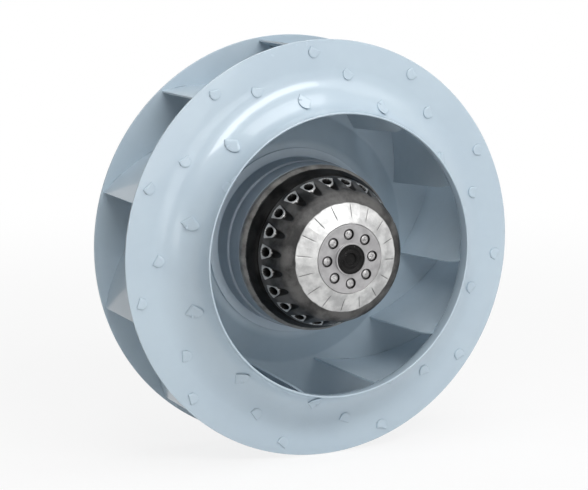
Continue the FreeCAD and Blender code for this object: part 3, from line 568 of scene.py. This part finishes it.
# Each blade is part of a circle whose middle lies well off the fan's axis. Its front edge follows
# the shroud, its inner edge leans, and three tongues pass through each plate and end in flat heads.
flatLug = {"width": 12.0, "reach": 5.3, "back": 4.7, "lean": 0.0, "holeIn": 0.5, "holeOut": 0.7}
bladeSet = {
    "count": 11, "gauge": 2.0, "curve": 211.1, "centreFromAxis": 104.6, "centreAngle": 70.2,
    "trailing": 222.5, "leading": ((31.0, 145.9), (140.0, 149.2), (161.0, 151.9)),
    "top": 161.0, "gap": 0.1, "columns": 40, "rows": 26,
    # the search along the curve: its range in degrees, and how often the range is halved
    "searchFrom": -85.0, "searchTo": -18.0, "halvings": 40,
    # the fit under the shroud: the height it starts from, and its rounds
    "firstSpan": 90, "rounds": 7,
    # each lug's place from the axis, width, reach to the hub and to the rim, lean in degrees, and
    # the small hole beside it: in from its side, out from its straight end
    "lugs": (
        dict(flatLug, fromAxis=212.4), dict(flatLug, fromAxis=189.4),
        {"fromAxis": 164.9, "width": 12.0, "reach": 6.8, "back": 5.2, "lean": 15.0, "holeIn": -0.6,
         "holeOut": -2.4}),
    "lugGauge": 1.6, "slotRoom": 0.25, "reliefHole": 1.1,
    "endSteps": 8, "sideSteps": 3, "roundSteps": 14, "stemSteps": 4,
    # how far each layer of a lug's head is drawn in and raised, from its foot and from its top
    "headGap": 0.03, "headFoot": ((0.35, 0.0), (0.0, 0.35)),
    "headTop": ((0.0, -0.55), (0.18, -0.22), (0.6, 0.0), (2.6, 0.02)),
    "stemPast": 0.6, "stemBelow": 3.0, "stemAbove": 0.5,
}
bladeCentre = polar(bladeSet["centreFromAxis"], radians(bladeSet["centreAngle"]))


def onBlade(turn, inward=0.0):
    return bladeCentre + polar(1, turn) * (bladeSet["curve"] - inward)


def bladeTurn(radius):
    # where the blade's curve crosses a radius about the fan's axis
    low, high = radians(bladeSet["searchFrom"]), radians(bladeSet["searchTo"])
    for _ in range(bladeSet["halvings"]):
        middle = (low + high) / 2
        if onBlade(middle).length < radius:
            low = middle
        else:
            high = middle
    return (low + high) / 2


def leadingRadius(height):
    (h0, r0), (h1, r1), (h2, r2) = bladeSet["leading"]
    if height <= h1:
        return r0 + (r1 - r0) * (height - h0) / (h1 - h0)
    return r1 + (r2 - r1) * (height - h1) / (h2 - h1)


def shroudLine(radius, offset):
    # height of the shroud's face at a radius, moved out along its normal by offset
    s = impellerSet
    curve = s["flare"] - offset
    bend = s["throat"] + s["flare"]
    if radius >= bend:
        return s["shroudFront"] + offset
    inward = min(bend - radius, curve * s["steepest"])
    return s["shroudFront"] + s["flare"] - sqrt(curve * curve - inward * inward)


def bladeGrid():
    # points of the blade's middle surface, from the leading to the trailing edge
    b = bladeSet
    last = bladeTurn(b["trailing"])
    base = impellerSet["plateFront"] + b["gap"]
    grid = []
    for row in range(b["rows"] + 1):
        share = row / b["rows"]
        line = []
        for column in range(b["columns"] + 1):
            along = column / b["columns"]
            height = base + share * b["firstSpan"]
            for _ in range(b["rounds"]):
                first = bladeTurn(leadingRadius(height)) if column < b["columns"] else last
                turn = first + (last - first) * along
                under = shroudLine(onBlade(turn).length, -impellerSet["gauge"] - b["gap"])
                height = base + share * (min(under, b["top"]) - base)
            line.append((turn, height))
        grid.append(line)
    return grid


def sheetFromGrid(grid, gauge):
    # a closed sheet of that gauge about a grid of (turn, height) points on the blade's curve
    rows, columns = len(grid), len(grid[0])
    points = []
    for side in (-1, 1):
        for line in grid:
            points += [lifted(onBlade(turn, side * gauge / 2), height) for turn, height in line]
    layer = rows * columns
    faces = []
    for row in range(rows - 1):
        for column in range(columns - 1):
            a = row * columns + column
            faces.append((a, a + 1, a + columns + 1, a + columns))
            faces.append((layer + a, layer + a + columns, layer + a + columns + 1, layer + a + 1))
    rim = list(range(columns))
    rim += [r * columns + columns - 1 for r in range(1, rows)]
    rim += [(rows - 1) * columns + c for c in range(columns - 2, -1, -1)]
    rim += [r * columns for r in range(rows - 2, 0, -1)]
    for index, spot in enumerate(rim):
        after = rim[(index + 1) % len(rim)]
        faces.append((spot, layer + spot, layer + after, after))
    return points, faces


def lugSpot(lug, outward=0.0, along=0.0):
    # a place measured from the middle of a lug, across and along the blade
    turn = bladeTurn(lug["fromAxis"])
    out = polar(1, turn - radians(lug["lean"]))
    return onBlade(turn) + out * outward + Vector((-out.y, out.x)) * along


def lugOutline(lug):
    # a tab with its straight end on the rim side of the blade and its round one on the hub side
    b = bladeSet
    back = lug["back"]
    half = lug["width"] / 2
    middle = half - lug["reach"]
    ends, sides, rounds = b["endSteps"], b["sideSteps"], b["roundSteps"]
    line = [lugSpot(lug, back, half * (1 - 2 * step / ends)) for step in range(ends + 1)]
    line += [lugSpot(lug, back + (middle - back) * (step + 1) / sides, -half) for step in range(sides)]
    for step in range(1, rounds):
        swing = pi * step / rounds
        line.append(lugSpot(lug, middle - half * sin(swing), -half * cos(swing)))
    line += [lugSpot(lug, middle + (back - middle) * step / sides, half) for step in range(sides)]
    return line


def lugHead(lug, place):
    # the lug's flat head: layers of its outline, drawn in a little at the foot and at the top
    b = bladeSet
    outline = lugOutline(lug)
    centre = sum(outline, Vector((0, 0))) / len(outline)
    high = b["gap"] + b["lugGauge"]
    layers = [(inset, b["headGap"] + rise) for inset, rise in b["headFoot"]]
    layers += [(inset, high + rise) for inset, rise in b["headTop"]]
    points = []
    for inset, lift in layers:
        for spot in outline:
            moved = spot + (centre - spot).normalized() * inset
            if place == "front":
                height = shroudLine(moved.length, lift)
            else:
                height = impellerSet["plateRear"] - lift
            points.append(lifted(moved, height))
    count = len(outline)
    # the faces that would join the last layer to the first are left off
    faces = ringFaces(len(layers), count, True)[:-count]
    faces.append(tuple(range(count))[::-1])
    faces.append(tuple(range(len(points) - count, len(points))))
    return points, faces


def lugStem(lug, low, high, room=0.0):
    b = bladeSet
    turn = bladeTurn(lug["fromAxis"])
    half = (lug["width"] / 2 + room) / b["curve"]
    first, last = turn - half, turn + half
    steps = b["stemSteps"]
    grid = [[(first + (last - first) * c / steps, h) for c in range(steps + 1)] for h in (low, high)]
    return sheetFromGrid(grid, b["gauge"] + 2 * room)


def drill(place, radius, low, high):
    core = meshSet["drillCore"]
    line = [Vector((core, low)), Vector((radius, low)), Vector((radius, high)), Vector((core, high))]
    return spinLine(line, meshSet["drillColumns"], True, place)


def slotTools():
    # the slots of the blades' lugs, with the small hole beside each
    b = bladeSet
    low, high = impellerSet["cutFrom"], impellerSet["cutTo"]
    tools = []
    for index in range(b["count"]):
        turn = fullTurn * index / b["count"]
        for lug in b["lugs"]:
            spot = lugSpot(lug, lug["back"] + lug["holeOut"], lug["width"] / 2 - lug["holeIn"])
            slot = lugStem(lug, low, high, b["slotRoom"])
            for points, faces in (slot, drill(spot, b["reliefHole"], low, high)):
                tools.append((turnedAbout(points, turn), faces))
    return tools


def turnedAbout(points, turn):
    return [Vector((p.x * cos(turn) - p.z * sin(turn), p.y,
                    p.x * sin(turn) + p.z * cos(turn))) for p in points]


def makeBlades():
    b = bladeSet
    s = impellerSet
    parts = [sheetFromGrid(bladeGrid(), b["gauge"])]
    for lug in b["lugs"]:
        radius = lug["fromAxis"]
        parts += [
            lugHead(lug, "front"), lugHead(lug, "back"),
            lugStem(lug, s["plateRear"] - b["stemPast"], s["plateFront"] + b["stemPast"]),
            lugStem(lug, shroudLine(radius, -b["stemBelow"]), shroudLine(radius, b["stemAbove"])),
        ]
    points, faces = joinParts(parts)
    # of each pair of faces of the sheet, the second looks at the hub and gets the darker copy of the paint,
    # as painted shade
    innerFaces = 2 * b["rows"] * b["columns"]
    slots = [0 if i < innerFaces and i % 2 else 1 for i in range(len(faces))]
    for index in range(b["count"]):
        turn = fullTurn * index / b["count"]
        name = "blade_%02d" % (index + 1)
        piece = addPiece("impeller_" + name, turnedAbout(points, turn), faces, shadedPaleBlue, "rotor")
        piece.data.materials.append(paleBlue)
        piece.data.polygons.foreach_set("material_index", slots)
        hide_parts(name)


makeShroud()
makeBackPlate()
makeBlades()
print("impeller made")


# sleeve between the back plate and the rotor

sleeveSet = {
    # one paint in two tones: a darker one for the wall, as painted shade, and a lighter one for the
    # front-facing flange, as painted light
    "look": lookOf((160, 171, 181), (150, 161, 172), (0.34, 0.46), 16.0, 0.12, speck=srgb(132, 143, 154)),
    "flangeLitLook": {"colour": srgb(205, 218, 228), "shade": srgb(196, 209, 220), "speck": srgb(176, 189, 200)},
    "flange": 103.0, "flangeFace": 56.0, "foot": 93.1, "step": 81.8, "neck": 90.3,
    "front": 106.0, "bore": 87.9, "gauge": 2.4, "seat": 53.5,
}


def makeSleeve():
    s = sleeveSet
    material = plainFinish("sleeveShadedPaint", s["look"])
    footBore = s["foot"] - s["gauge"]
    piece = turnedPiece("hubSleeve", [
        (footBore, s["seat"]),
        (s["flange"], s["seat"], 0.4),
        (s["flange"], s["flangeFace"], 0.9),
        (s["foot"], s["flangeFace"], 0.8),
        (s["foot"], s["step"], 1.5),
        (s["neck"], s["step"], 0.5),
        (s["neck"], s["front"], 0.6),
        (s["bore"], s["front"], 0.2),
        (s["bore"], s["step"] - s["gauge"]),
        (footBore, s["step"] - s["gauge"]),
    ], 240, material, "rotor")
    # the front-facing flange gets the lighter tone: painted light
    piece.data.materials.append(plainFinish("flangeLitPaint", dict(s["look"], **s["flangeLitLook"])))
    for face in piece.data.polygons:
        if hypot(face.center.x, face.center.z) > s["foot"] * mm:
            face.material_index = 1
    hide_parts("hub_sleeve")


makeSleeve()
print("sleeve made")


# rotor shell

shellSet = {
    # radius, height and rounding of each corner of the outside
    "outline": (
        (78.0, 20.0), (78.0, 12.0, 0.6), (87.9, 12.0, 0.8), (87.9, 107.6), (90.4, 107.6, 0.9),
        (90.4, 114.0, 2.4), (86.6, 119.5, 8.0), (82.9, 131.0, 4.0), (80.8, 134.0, 0.8),
        (78.6, 134.0, 0.5), (78.6, 137.0, 0.5), (81.4, 137.0, 1.0), (69.6, 175.6, 16.0),
        (37.2, 192.0, 0.4), (37.2, 180.0), (12.8, 180.0)),
    "cornerSteps": 4, "usualStep": 1.6,
    "fineFrom": 137.2, "fineTo": 176, "fineRadius": 66, "fineStep": 0.38,
    "noseRadius": 36, "noseStep": 0.7, "seatTo": 107, "seatStep": 8.0,
    "pockets": 22, "firstPocket": 12.0, "columnsPerPocket": 56,
    "holeFromAxis": 76.9, "holeHeight": 146.5, "tilt": 60.0, "hole": 4.7, "holeDepth": 6.5, "holeEdge": 0.35,
    "boss": 7.2, "bossFall": 5.0, "recessEnd": 70.0, "recessRound": 4.6, "flare": 33.0, "farAway": 999.0,
    "pocketFrom": 138.0, "pocketTo": 176.5, "margin": 1, "blend": 0.5,
    # bare metal on the bosses: its depth, its distance from the hole and how far it goes past the boss
    "bareDepth": 0.15, "bareHole": 0.5, "bareRim": 0.1,
    # painted shade in the recesses, holes and groove: its strength, the depth below the cone over which it
    # comes in within the recesses, and the distances past the hole's edge over which the black of the holes
    # fades
    "shade": 0.8, "shadeFrom": 0.1, "shadeTo": 1.1, "holeShade": (0.1, 0.6),
    # the machined cone: its wavy outer edge, its panels and the creases between them, darkened with painted
    # shade
    "coneFrom": 178, "bareFrom": 58.0, "bareWaves": ((0.18, 13, 1.3), (0.12, 29, 0.0)), "bareSoft": 0.3,
    "creases": 16, "firstCrease": -5.4, "creaseDepth": 0.45, "creaseWidth": 0.5, "creaseShade": 0.75,
    "panelFrom": 38.0, "panelTo": 60, "panelRise": 0.42, "panelIn": (41.0, 46.0), "panelOut": (55.0, 58.5),
    # the skirt's share of bare metal, and the heights of the groove behind the bead, which is darkened with
    # painted shade
    "skirtTo": 100, "skirtBare": 0.3, "grooveFrom": 114, "grooveTo": 137.3, "grooveFade": (117.6, 120.8),
    "wornFrom": 107, "wornRadius": 86, "wornFade": (117.0, 120.4),
}


def recessReach(swing):
    # distance from the axis to the recess's inner wall along a ray at that angle to its middle
    s = shellSet
    centre = s["recessEnd"] + s["recessRound"]
    flare = radians(s["flare"])
    swing = abs(swing)
    inside = s["recessRound"] ** 2 - (centre * sin(swing)) ** 2
    if inside > 0:
        reach = centre * cos(swing) - sqrt(inside)
        if reach * cos(swing) <= centre - s["recessRound"] * sin(flare):
            return reach
    slope = tan(flare)
    edge = s["recessRound"] / cos(flare)
    below = slope * cos(swing) - sin(swing)
    nearlyAlong = 0.01
    if below <= nearlyAlong:
        return s["farAway"]
    return (slope * centre - edge) / below


def pocketCut(radius, swing, height):
    # the shell's radius there once the pocket is cut, how far it is bare metal, and how much painted shade
    # darkens it
    s = shellSet
    if height < s["pocketFrom"] or radius < s["recessEnd"] - s["margin"]:
        return radius, 0.0, 0.0
    wall = recessReach(swing)
    if wall >= radius + s["margin"]:
        return radius, 0.0, 0.0
    tilt = radians(s["tilt"])
    face = (s["holeFromAxis"] - (height - s["holeHeight"]) / tan(tilt)) / cos(swing)
    along = (height - s["holeHeight"]) / sin(tilt)
    hole = s["hole"]
    fromHole = hypot(along, face * sin(swing))
    rim = fromHole if along > 0 else 0.0
    boss = face - s["bossFall"] * max(0.0, rim - s["boss"])
    sunk = s["holeDepth"] * (1 - easeStep(hole - s["holeEdge"], hole + s["holeEdge"], fromHole))
    floor = softMax(wall, boss, s["blend"]) - sunk
    cutRadius = softMin(radius, floor, s["blend"])
    onBoss = boss > wall and rim < s["boss"] + s["bareRim"]
    bare = 1.0 if onBoss and face < radius - s["bareDepth"] and fromHole > hole + s["bareHole"] else 0.0
    # painted shade: darker the deeper the recess is cut below the cone, and black in and at the mouth of the
    # hole
    dark = s["shade"] * easeStep(s["shadeFrom"], s["shadeTo"], radius - cutRadius) * (1 - bare)
    near, far = s["holeShade"]
    dark = max(dark, 1 - easeStep(hole + near, hole + far, fromHole))
    return cutRadius, bare, dark


def shellStep(one, two):
    # rows are finest where pockets are cut
    s = shellSet
    middle = (one.y + two.y) / 2
    if middle < s["seatTo"]:
        return s["seatStep"]
    if middle > s["fineTo"] and one.x > s["noseRadius"]:
        return s["noseStep"]
    if s["fineFrom"] < middle < s["fineTo"] and one.x > s["fineRadius"]:
        return s["fineStep"]
    return s["usualStep"]


def makeShell():
    s = shellSet
    rows = divided(roundedLine(s["outline"], s["cornerSteps"]), shellStep)
    columns = s["pockets"] * s["columnsPerPocket"]
    creasePitch = 360.0 / s["creases"]
    points = []
    painted = {"bareMetal": [], "wornEdge": [], "darkPart": []}
    for column in range(columns):
        turn = fullTurn * column / columns
        swing = fromNearest(turn, radians(s["firstPocket"]), fullTurn / s["pockets"])
        fromCrease = fromNearest(degrees(turn), s["firstCrease"], creasePitch)
        edge = s["bareFrom"]
        for size, waves, shift in s["bareWaves"]:
            edge += size * sin(turn * waves + shift)
        for radius, height in rows:
            bare, dark, worn = 0.0, 0.0, 0.0
            newRadius, newHeight = radius, height
            if s["pocketFrom"] <= height <= s["pocketTo"] and radius > s["fineRadius"]:
                newRadius, bare, dark = pocketCut(radius, swing, height)
            if height > s["coneFrom"]:
                bare = 1 - easeStep(edge - s["bareSoft"], edge + s["bareSoft"], radius)
            if height > s["coneFrom"] and s["panelFrom"] < radius < s["panelTo"]:
                across = radians(fromCrease) * radius
                onPanel = easeStep(*s["panelIn"], radius) * (1 - easeStep(*s["panelOut"], radius))
                dent = exp(-(across / s["creaseWidth"]) ** 2) * onPanel
                newHeight -= s["creaseDepth"] * dent
                newHeight -= s["panelRise"] * (1 - (2 * fromCrease / creasePitch) ** 2) * onPanel
                # painted shade along the crease
                dark = s["creaseShade"] * dent
            if height < s["skirtTo"]:
                bare = s["skirtBare"]
            # painted shade in the groove behind the bead
            if s["grooveFrom"] < height < s["grooveTo"]:
                dark = s["shade"] * easeStep(*s["grooveFade"], height)
            if height > s["wornFrom"] and radius > s["wornRadius"]:
                worn = 1 - easeStep(*s["wornFade"], height)
            points.append(lifted(polar(newRadius, turn), newHeight))
            for label, value in (("bareMetal", bare), ("wornEdge", worn), ("darkPart", dark)):
                painted[label].append(value)
    faces = ringFaces(columns, len(rows))
    piece = addPiece("rotorCasting", points, faces, makeCastingFinish(), "rotor", sharp=50.0)
    for label, values in painted.items():
        storeValues(piece, label, values)
    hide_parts("rotor_shell")


castingLook = {
    "paint": {"colour": srgb(26, 25, 25), "shade": srgb(86, 85, 84), "cloud": 42.0, "rough": (0.30, 0.56)},
    "bare": {"colour": srgb(212, 212, 211), "shade": srgb(172, 172, 172), "cloud": 60.0,
             "rough": (0.30, 0.44)},
    # the near-black at the end of the next line is the colour of the painted shade in the recesses, holes,
    # creases and groove
    "worn": srgb(212, 206, 199), "wornShade": srgb(30, 28, 27), "dark": srgb(12, 12, 12),
    "rustScale": 100.0, "wearScale": 120.0, "wearAmount": 0.68, "metallic": 0.5, "gloss": 0.35,
    "grain": (700.0, 110.0), "broadShare": 1.2, "relief": 0.35, "depth": 0.0004,
}


def makeCastingFinish():
    look = castingLook
    material, tree, shader = startMaterial("castingPaint")
    bare = storedValue(tree, "bareMetal")
    dark = storedValue(tree, "darkPart")
    tone = toneNode(tree, look["paint"]).outputs
    metal = toneNode(tree, look["bare"]).outputs
    worn = useGroup(tree, patchyWear, Place=storedValue(tree, "wornEdge"), Scale=look["wearScale"],
                    Amount=look["wearAmount"]).outputs["Mask"]
    rusty = mixNode(tree, noiseNode(tree, look["rustScale"]), look["worn"], look["wornShade"])
    painted = mixNode(tree, worn, tone["Colour"], rusty)
    surface = mixNode(tree, bare, painted, metal["Colour"])
    shiny = mathNode(tree, "MAXIMUM", bare, worn)
    unshaded = mathNode(tree, "SUBTRACT", 1.0, dark)
    lit = mathNode(tree, "MULTIPLY", shiny, unshaded)
    # painted shade: where the stored mask is high, the colour goes near black and the gloss fades out
    for label, value in (
            ("Base Color", mixNode(tree, dark, surface, look["dark"])),
            ("Metallic", mathNode(tree, "MULTIPLY", lit, look["metallic"])),
            ("Specular IOR Level", mathNode(tree, "MULTIPLY", unshaded, look["gloss"])),
            ("Roughness", mixNode(tree, shiny, tone["Roughness"], metal["Roughness"], "FLOAT"))):
        tree.links.new(value, shader.inputs[label])
    addGrain(tree, shader, look)
    return material


makeShell()
print("rotor casting made")


# hub disc, rivets and plug

hubSet = {
    "outer": 36.8, "face": 192.0, "seat": 180.0, "collar": 17.2, "collarInner": 15.6, "collarTop": 195.5,
    "collarDepth": 8.0, "rivets": 8, "circle": 26.1, "firstRivet": 2.6, "columns": 640, "step": 0.34,
    # the cups: where the wall starts and ends, the rolled lip round it, and painted shade: a dark line just
    # inside the wall and a darker floor
    "cup": 5.8, "cupDepth": 3.0, "wallIn": 0.7, "wallOut": 0.15, "lipRise": 0.16, "lipOut": 0.5,
    "lipWidth": 0.45, "lineIn": 0.25, "lineWidth": 0.4, "cupShade": 0.45, "cupShadeIn": 0.4,
    # the band about the face in which cups are cut, and painted shade inside the collar: its strength, how
    # far above the face it starts and how far out from the bore it reaches
    "faceBand": 0.6, "collarFoot": 0.3, "collarShade": 0.6, "shadeAbove": 0.05, "shadeOut": 0.5,
}
# the last colour of each of these two finishes is painted shade, for the cups, the collar, the rivets' dents
# and the edges of their heads
discSteel = plainFinish("discSteel", lookOf(
    (172, 171, 172), (152, 151, 152), (0.34, 0.46), 70.0, 0.2, metallic=0.65, grain=(1500.0, 300.0),
    speck=srgb(120, 120, 122), speckCover=0.25, dark=srgb(40, 39, 39)))
rivetSteel = plainFinish("rivetSteel", lookOf(
    (196, 195, 195), (158, 157, 157), (0.32, 0.46), 160.0, 0.3, metallic=0.5, depth=0.0002,
    grain=(1300.0, 420.0), speck=srgb(120, 118, 118), speckScale=420.0, speckCover=0.33,
    dark=srgb(52, 50, 50)))


def makeHubDisc():
    s = hubSet
    cup = s["cup"]
    rows = divided(roundedLine([
        (s["outer"], s["seat"]), (s["outer"], s["face"], 0.5), (s["collar"], s["face"], 0.4),
        (s["collar"], s["collarTop"], 0.4), (s["collarInner"], s["collarTop"], 0.3),
        (s["collarInner"], s["collarTop"] - s["collarDepth"]),
    ], steps=3), lambda one, two: s["step"])
    points, shades = [], []
    for column in range(s["columns"]):
        turn = fullTurn * column / s["columns"]
        swing = fromNearest(turn, radians(s["firstRivet"]), fullTurn / s["rivets"])
        for radius, height in rows:
            shade = 0.0
            if abs(height - s["face"]) < s["faceBand"] and radius > s["collar"] + s["collarFoot"]:
                away = hypot(radius * cos(swing) - s["circle"], radius * sin(swing))
                sunk = s["cupDepth"] * (1 - easeStep(cup - s["wallIn"], cup + s["wallOut"], away))
                rolled = s["lipRise"] * exp(-((away - cup - s["lipOut"]) / s["lipWidth"]) ** 2)
                height = height - sunk + rolled
                # painted shade: a dark line just inside the cup's wall and a darker cup floor
                shade = exp(-((away - cup + s["lineIn"]) / s["lineWidth"]) ** 2)
                shade += s["cupShade"] * (1 - easeStep(cup - s["cupShadeIn"], cup, away))
            # painted shade inside the collar
            if height > s["face"] + s["shadeAbove"] and radius < s["collarInner"] + s["shadeOut"]:
                shade = s["collarShade"]
            points.append(lifted(polar(radius, turn), height))
            shades.append(shade)
    faces = ringFaces(s["columns"], len(rows))
    piece = addPiece("hubDisc", points, faces, discSteel, "rotor", sharp=50.0)
    storeValues(piece, "darkPart", shades)
    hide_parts("hub_disc")


rivetSet = {
    "head": 4.35, "rise": 2.5, "dome": 0.45, "seat": 189.0, "seatGap": 0.1, "tip": 0.02,
    "shank": 3.0, "foot": 167.8, "rings": 16, "columns": 40,
    # the noise behind the lumps and the pits: scale, and how far apart the rivets read it
    "lumpScale": 0.42, "lumpApart": 7.0, "pitScale": 1.3, "pitApart": 3.0,
    "lump": 0.5, "pit": 0.7, "sink": 0.1, "pitNoise": (0.12, 0.42), "pitReach": (2.2, 3.6),
    # where the dents start and the highest point, then painted shade: its strength in the dents and at the
    # head's edge, and the radii over which the edge's shade comes in
    "dentFrom": 0.5, "highest": 3.0, "pitShade": 0.8, "edgeShade": 0.7, "edge": (3.5, 4.1),
}


def makeRivets():
    # peened heads: each a low dome with a few dents of its own, the dents and the edge of the head darkened
    # with painted shade
    s = rivetSet
    low = s["seat"] + s["seatGap"]
    rows = [(s["shank"], s["foot"]), (s["shank"], low)]
    for ring in range(s["rings"]):
        share = ring / (s["rings"] - 1)
        radius = s["head"] * cos(share * pi / 2)
        rows.append((max(radius, s["tip"]), low + s["rise"] * sin(share * pi / 2) ** s["dome"]))
    parts, shades = [], []
    for index in range(hubSet["rivets"]):
        spread = hubSet["firstRivet"] + 360 / hubSet["rivets"] * index
        middle = polar(hubSet["circle"], radians(spread))
        points = []
        for column in range(s["columns"]):
            around = fullTurn * column / s["columns"]
            for radius, height in rows:
                spot = middle + polar(1, around) * radius
                shade = 0.0
                if height > s["seat"] + s["dentFrom"]:
                    lump = noise.noise(Vector((spot.x, spot.y, index * s["lumpApart"])) * s["lumpScale"])
                    small = noise.noise(Vector((spot.x * s["pitScale"], spot.y * s["pitScale"],
                                                index * s["pitApart"])))
                    pit = easeStep(*s["pitNoise"], -small) * (1 - easeStep(*s["pitReach"], radius))
                    height = height + s["lump"] * lump - s["pit"] * pit - s["sink"]
                    height = min(height, s["seat"] + s["highest"])
                    # painted shade in the dents and round the edge of the head
                    shade = s["pitShade"] * pit + s["edgeShade"] * easeStep(*s["edge"], radius)
                points.append(lifted(spot, height))
                shades.append(shade)
        parts.append((points, ringFaces(s["columns"], len(rows))))
    points, faces = joinParts(parts)
    piece = addPiece("peenedRivets", points, faces, rivetSteel, "rotor", sharp=60.0)
    storeValues(piece, "darkPart", shades)
    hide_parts("hub_rivets")


plugSet = {
    "outline": (
        (0.02, 187.5), (15.6, 187.5), (15.6, 194.9, 1.2), (11.8, 194.6, 1.0), (10.9, 193.6, 0.6),
        (9.2, 193.8, 0.6), (8.6, 194.6, 0.5), (6.9, 194.5, 0.8), (5.6, 192.0, 0.8), (0.02, 191.8)),
    "columns": 96,
    "look": lookOf((9, 9, 9), (26, 25, 25), (0.4, 0.65), 120.0, 0.5, gloss=0.15, depth=0.0003,
                   grain=(1200.0, 380.0), speck=srgb(88, 87, 87), speckScale=420.0, speckCover=0.33),
}


def makePlug():
    s = plugSet
    rubber = plainFinish("plugRubber", s["look"])
    piece = turnedPiece("shaftPlug", s["outline"], s["columns"], rubber, "rotor", closed=False)
    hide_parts("shaft_plug")


makeHubDisc()
makeRivets()
makePlug()
print("hub made")


# the pieces that keep their solids: stator, bearings, shaft and cage

statorLooks = {
    "castFlange": lookOf((168, 170, 172), (150, 152, 155), (0.42, 0.6), 40.0, 0.35, metallic=0.7,
                         depth=0.0004, grain=(650.0, 120.0), speck=srgb(112, 113, 115)),
    "bearingSteel": lookOf((190, 192, 195), (172, 175, 179), (0.16, 0.28), 120.0, 0.05, metallic=1.0),
    "cageNylon": lookOf((46, 46, 47), (58, 58, 59), (0.45, 0.6), 60.0, 0.2, depth=0.0002),
    "springSteel": lookOf((96, 98, 104), (78, 80, 88), (0.25, 0.4), 90.0, 0.1, metallic=0.9),
    "capZinc": lookOf((186, 189, 192), (166, 170, 175), (0.28, 0.42), 30.0, 0.15, metallic=0.85,
                      depth=0.0002, grain=(1500.0, 260.0)),
    "insulatorWhite": lookOf((222, 216, 198), (208, 200, 180), (0.4, 0.55), 30.0, 0.15, depth=0.0002),
    "sealRubber": lookOf((28, 28, 29), (40, 40, 41), (0.6, 0.8), 80.0, 0.3, depth=0.0002),
    "glandPlastic": lookOf((38, 38, 39), (50, 50, 51), (0.38, 0.52), 70.0, 0.2),
    "cageAluminium": lookOf((188, 189, 190), (166, 168, 170), (0.4, 0.58), 50.0, 0.4, metallic=0.8,
                            depth=0.0004),
}
bearingParts = ("inner_ring", "outer_ring", "balls", "shields")
statorNodes = {
    "castFlange": ["stator_flange"],
    "bearingSteel": [end + "_bearing_" + part for end in ("rear", "front") for part in bearingParts],
    "cageNylon": ["rear_bearing_cage", "front_bearing_cage"],
    "springSteel": ["preload_spring", "bearing_circlip", "shaft_circlip"],
    "capZinc": ["rear_cap"],
    "insulatorWhite": ["insulator_rear", "insulator_front"],
    "sealRubber": ["gland_seal"],
    "glandPlastic": ["gland_body", "gland_nut"],
    "cageAluminium": ["squirrel_cage"],
}


coreLook = lookOf((122, 124, 130), (84, 86, 92), (0.35, 0.5), 45.0, 0.4, metallic=0.75, stripes=12566.0)
laminationLook = dict(coreLook, colour=srgb(112, 114, 120), shade=srgb(78, 80, 86))
wireLook = lookOf((168, 92, 48), (92, 46, 24), (0.28, 0.45), 70.0, 0.8, metallic=0.35, coat=0.3,
                  depth=0.0006, rounds=260.0, distortion=2.5, detail=2.0, gap=0.7)
shaftLook = lookOf((176, 178, 182), (150, 153, 158), (0.2, 0.34), 60.0, 0.2, metallic=0.95, pitch=5200.0)


def layeredSteel(name, look):
    # stacked sheets: fine lines across the fan's axis
    material, tree, shader = startMaterial(name, look["metallic"])
    line = mathNode(tree, "SINE", mathNode(tree, "MULTIPLY", placeParts(tree)["Y"], look["stripes"]))
    mask = mathNode(tree, "MULTIPLY", mathNode(tree, "ADD", line, 1.0), 0.5)
    tone = toneNode(tree, look)
    colourIn(tree, shader, mixNode(tree, mask, tone.outputs["Colour"], look["shade"]), tone)
    addBump(tree, shader, mask, look)
    return material


def woundCopper(name, look):
    # enamelled wire: rounds of wire, darker between them
    material, tree, shader = startMaterial(name, look["metallic"], look["coat"])
    inputs = {"Vector": objectPlace(tree), "Scale": look["rounds"], "Distortion": look["distortion"],
              "Detail": look["detail"]}
    wave = newNode(tree, "ShaderNodeTexWave", inputs, wave_type="RINGS", rings_direction="Y").outputs["Fac"]
    tone = toneNode(tree, look)
    gap = mathNode(tree, "MULTIPLY", wave, look["gap"])
    colourIn(tree, shader, mixNode(tree, gap, look["shade"], tone.outputs["Colour"]), tone)
    addBump(tree, shader, wave, look)
    return material


def turnedSteel(name, look):
    material, tree, shader = startMaterial(name, look["metallic"])
    tone = toneNode(tree, look)
    colourIn(tree, shader, tone.outputs["Colour"], tone)
    rings = useGroup(tree, turnedRings, Pitch=look["pitch"])
    addBump(tree, shader, rings.outputs["Height"], look)
    return material


for lookName, look in statorLooks.items():
    finishMade = plainFinish(lookName, look)
    for nodeName in statorNodes[lookName]:
        dress(nodeName, finishMade)
dress("stator_core", layeredSteel("coreSheets", coreLook))
dress("rotor_laminations", layeredSteel("rotorSheets", laminationLook))
dress("stator_winding", woundCopper("enamelWire", wireLook))
dress("shaft", turnedSteel("shaftSteel", shaftLook))
print("stator, bearings and shaft dressed")
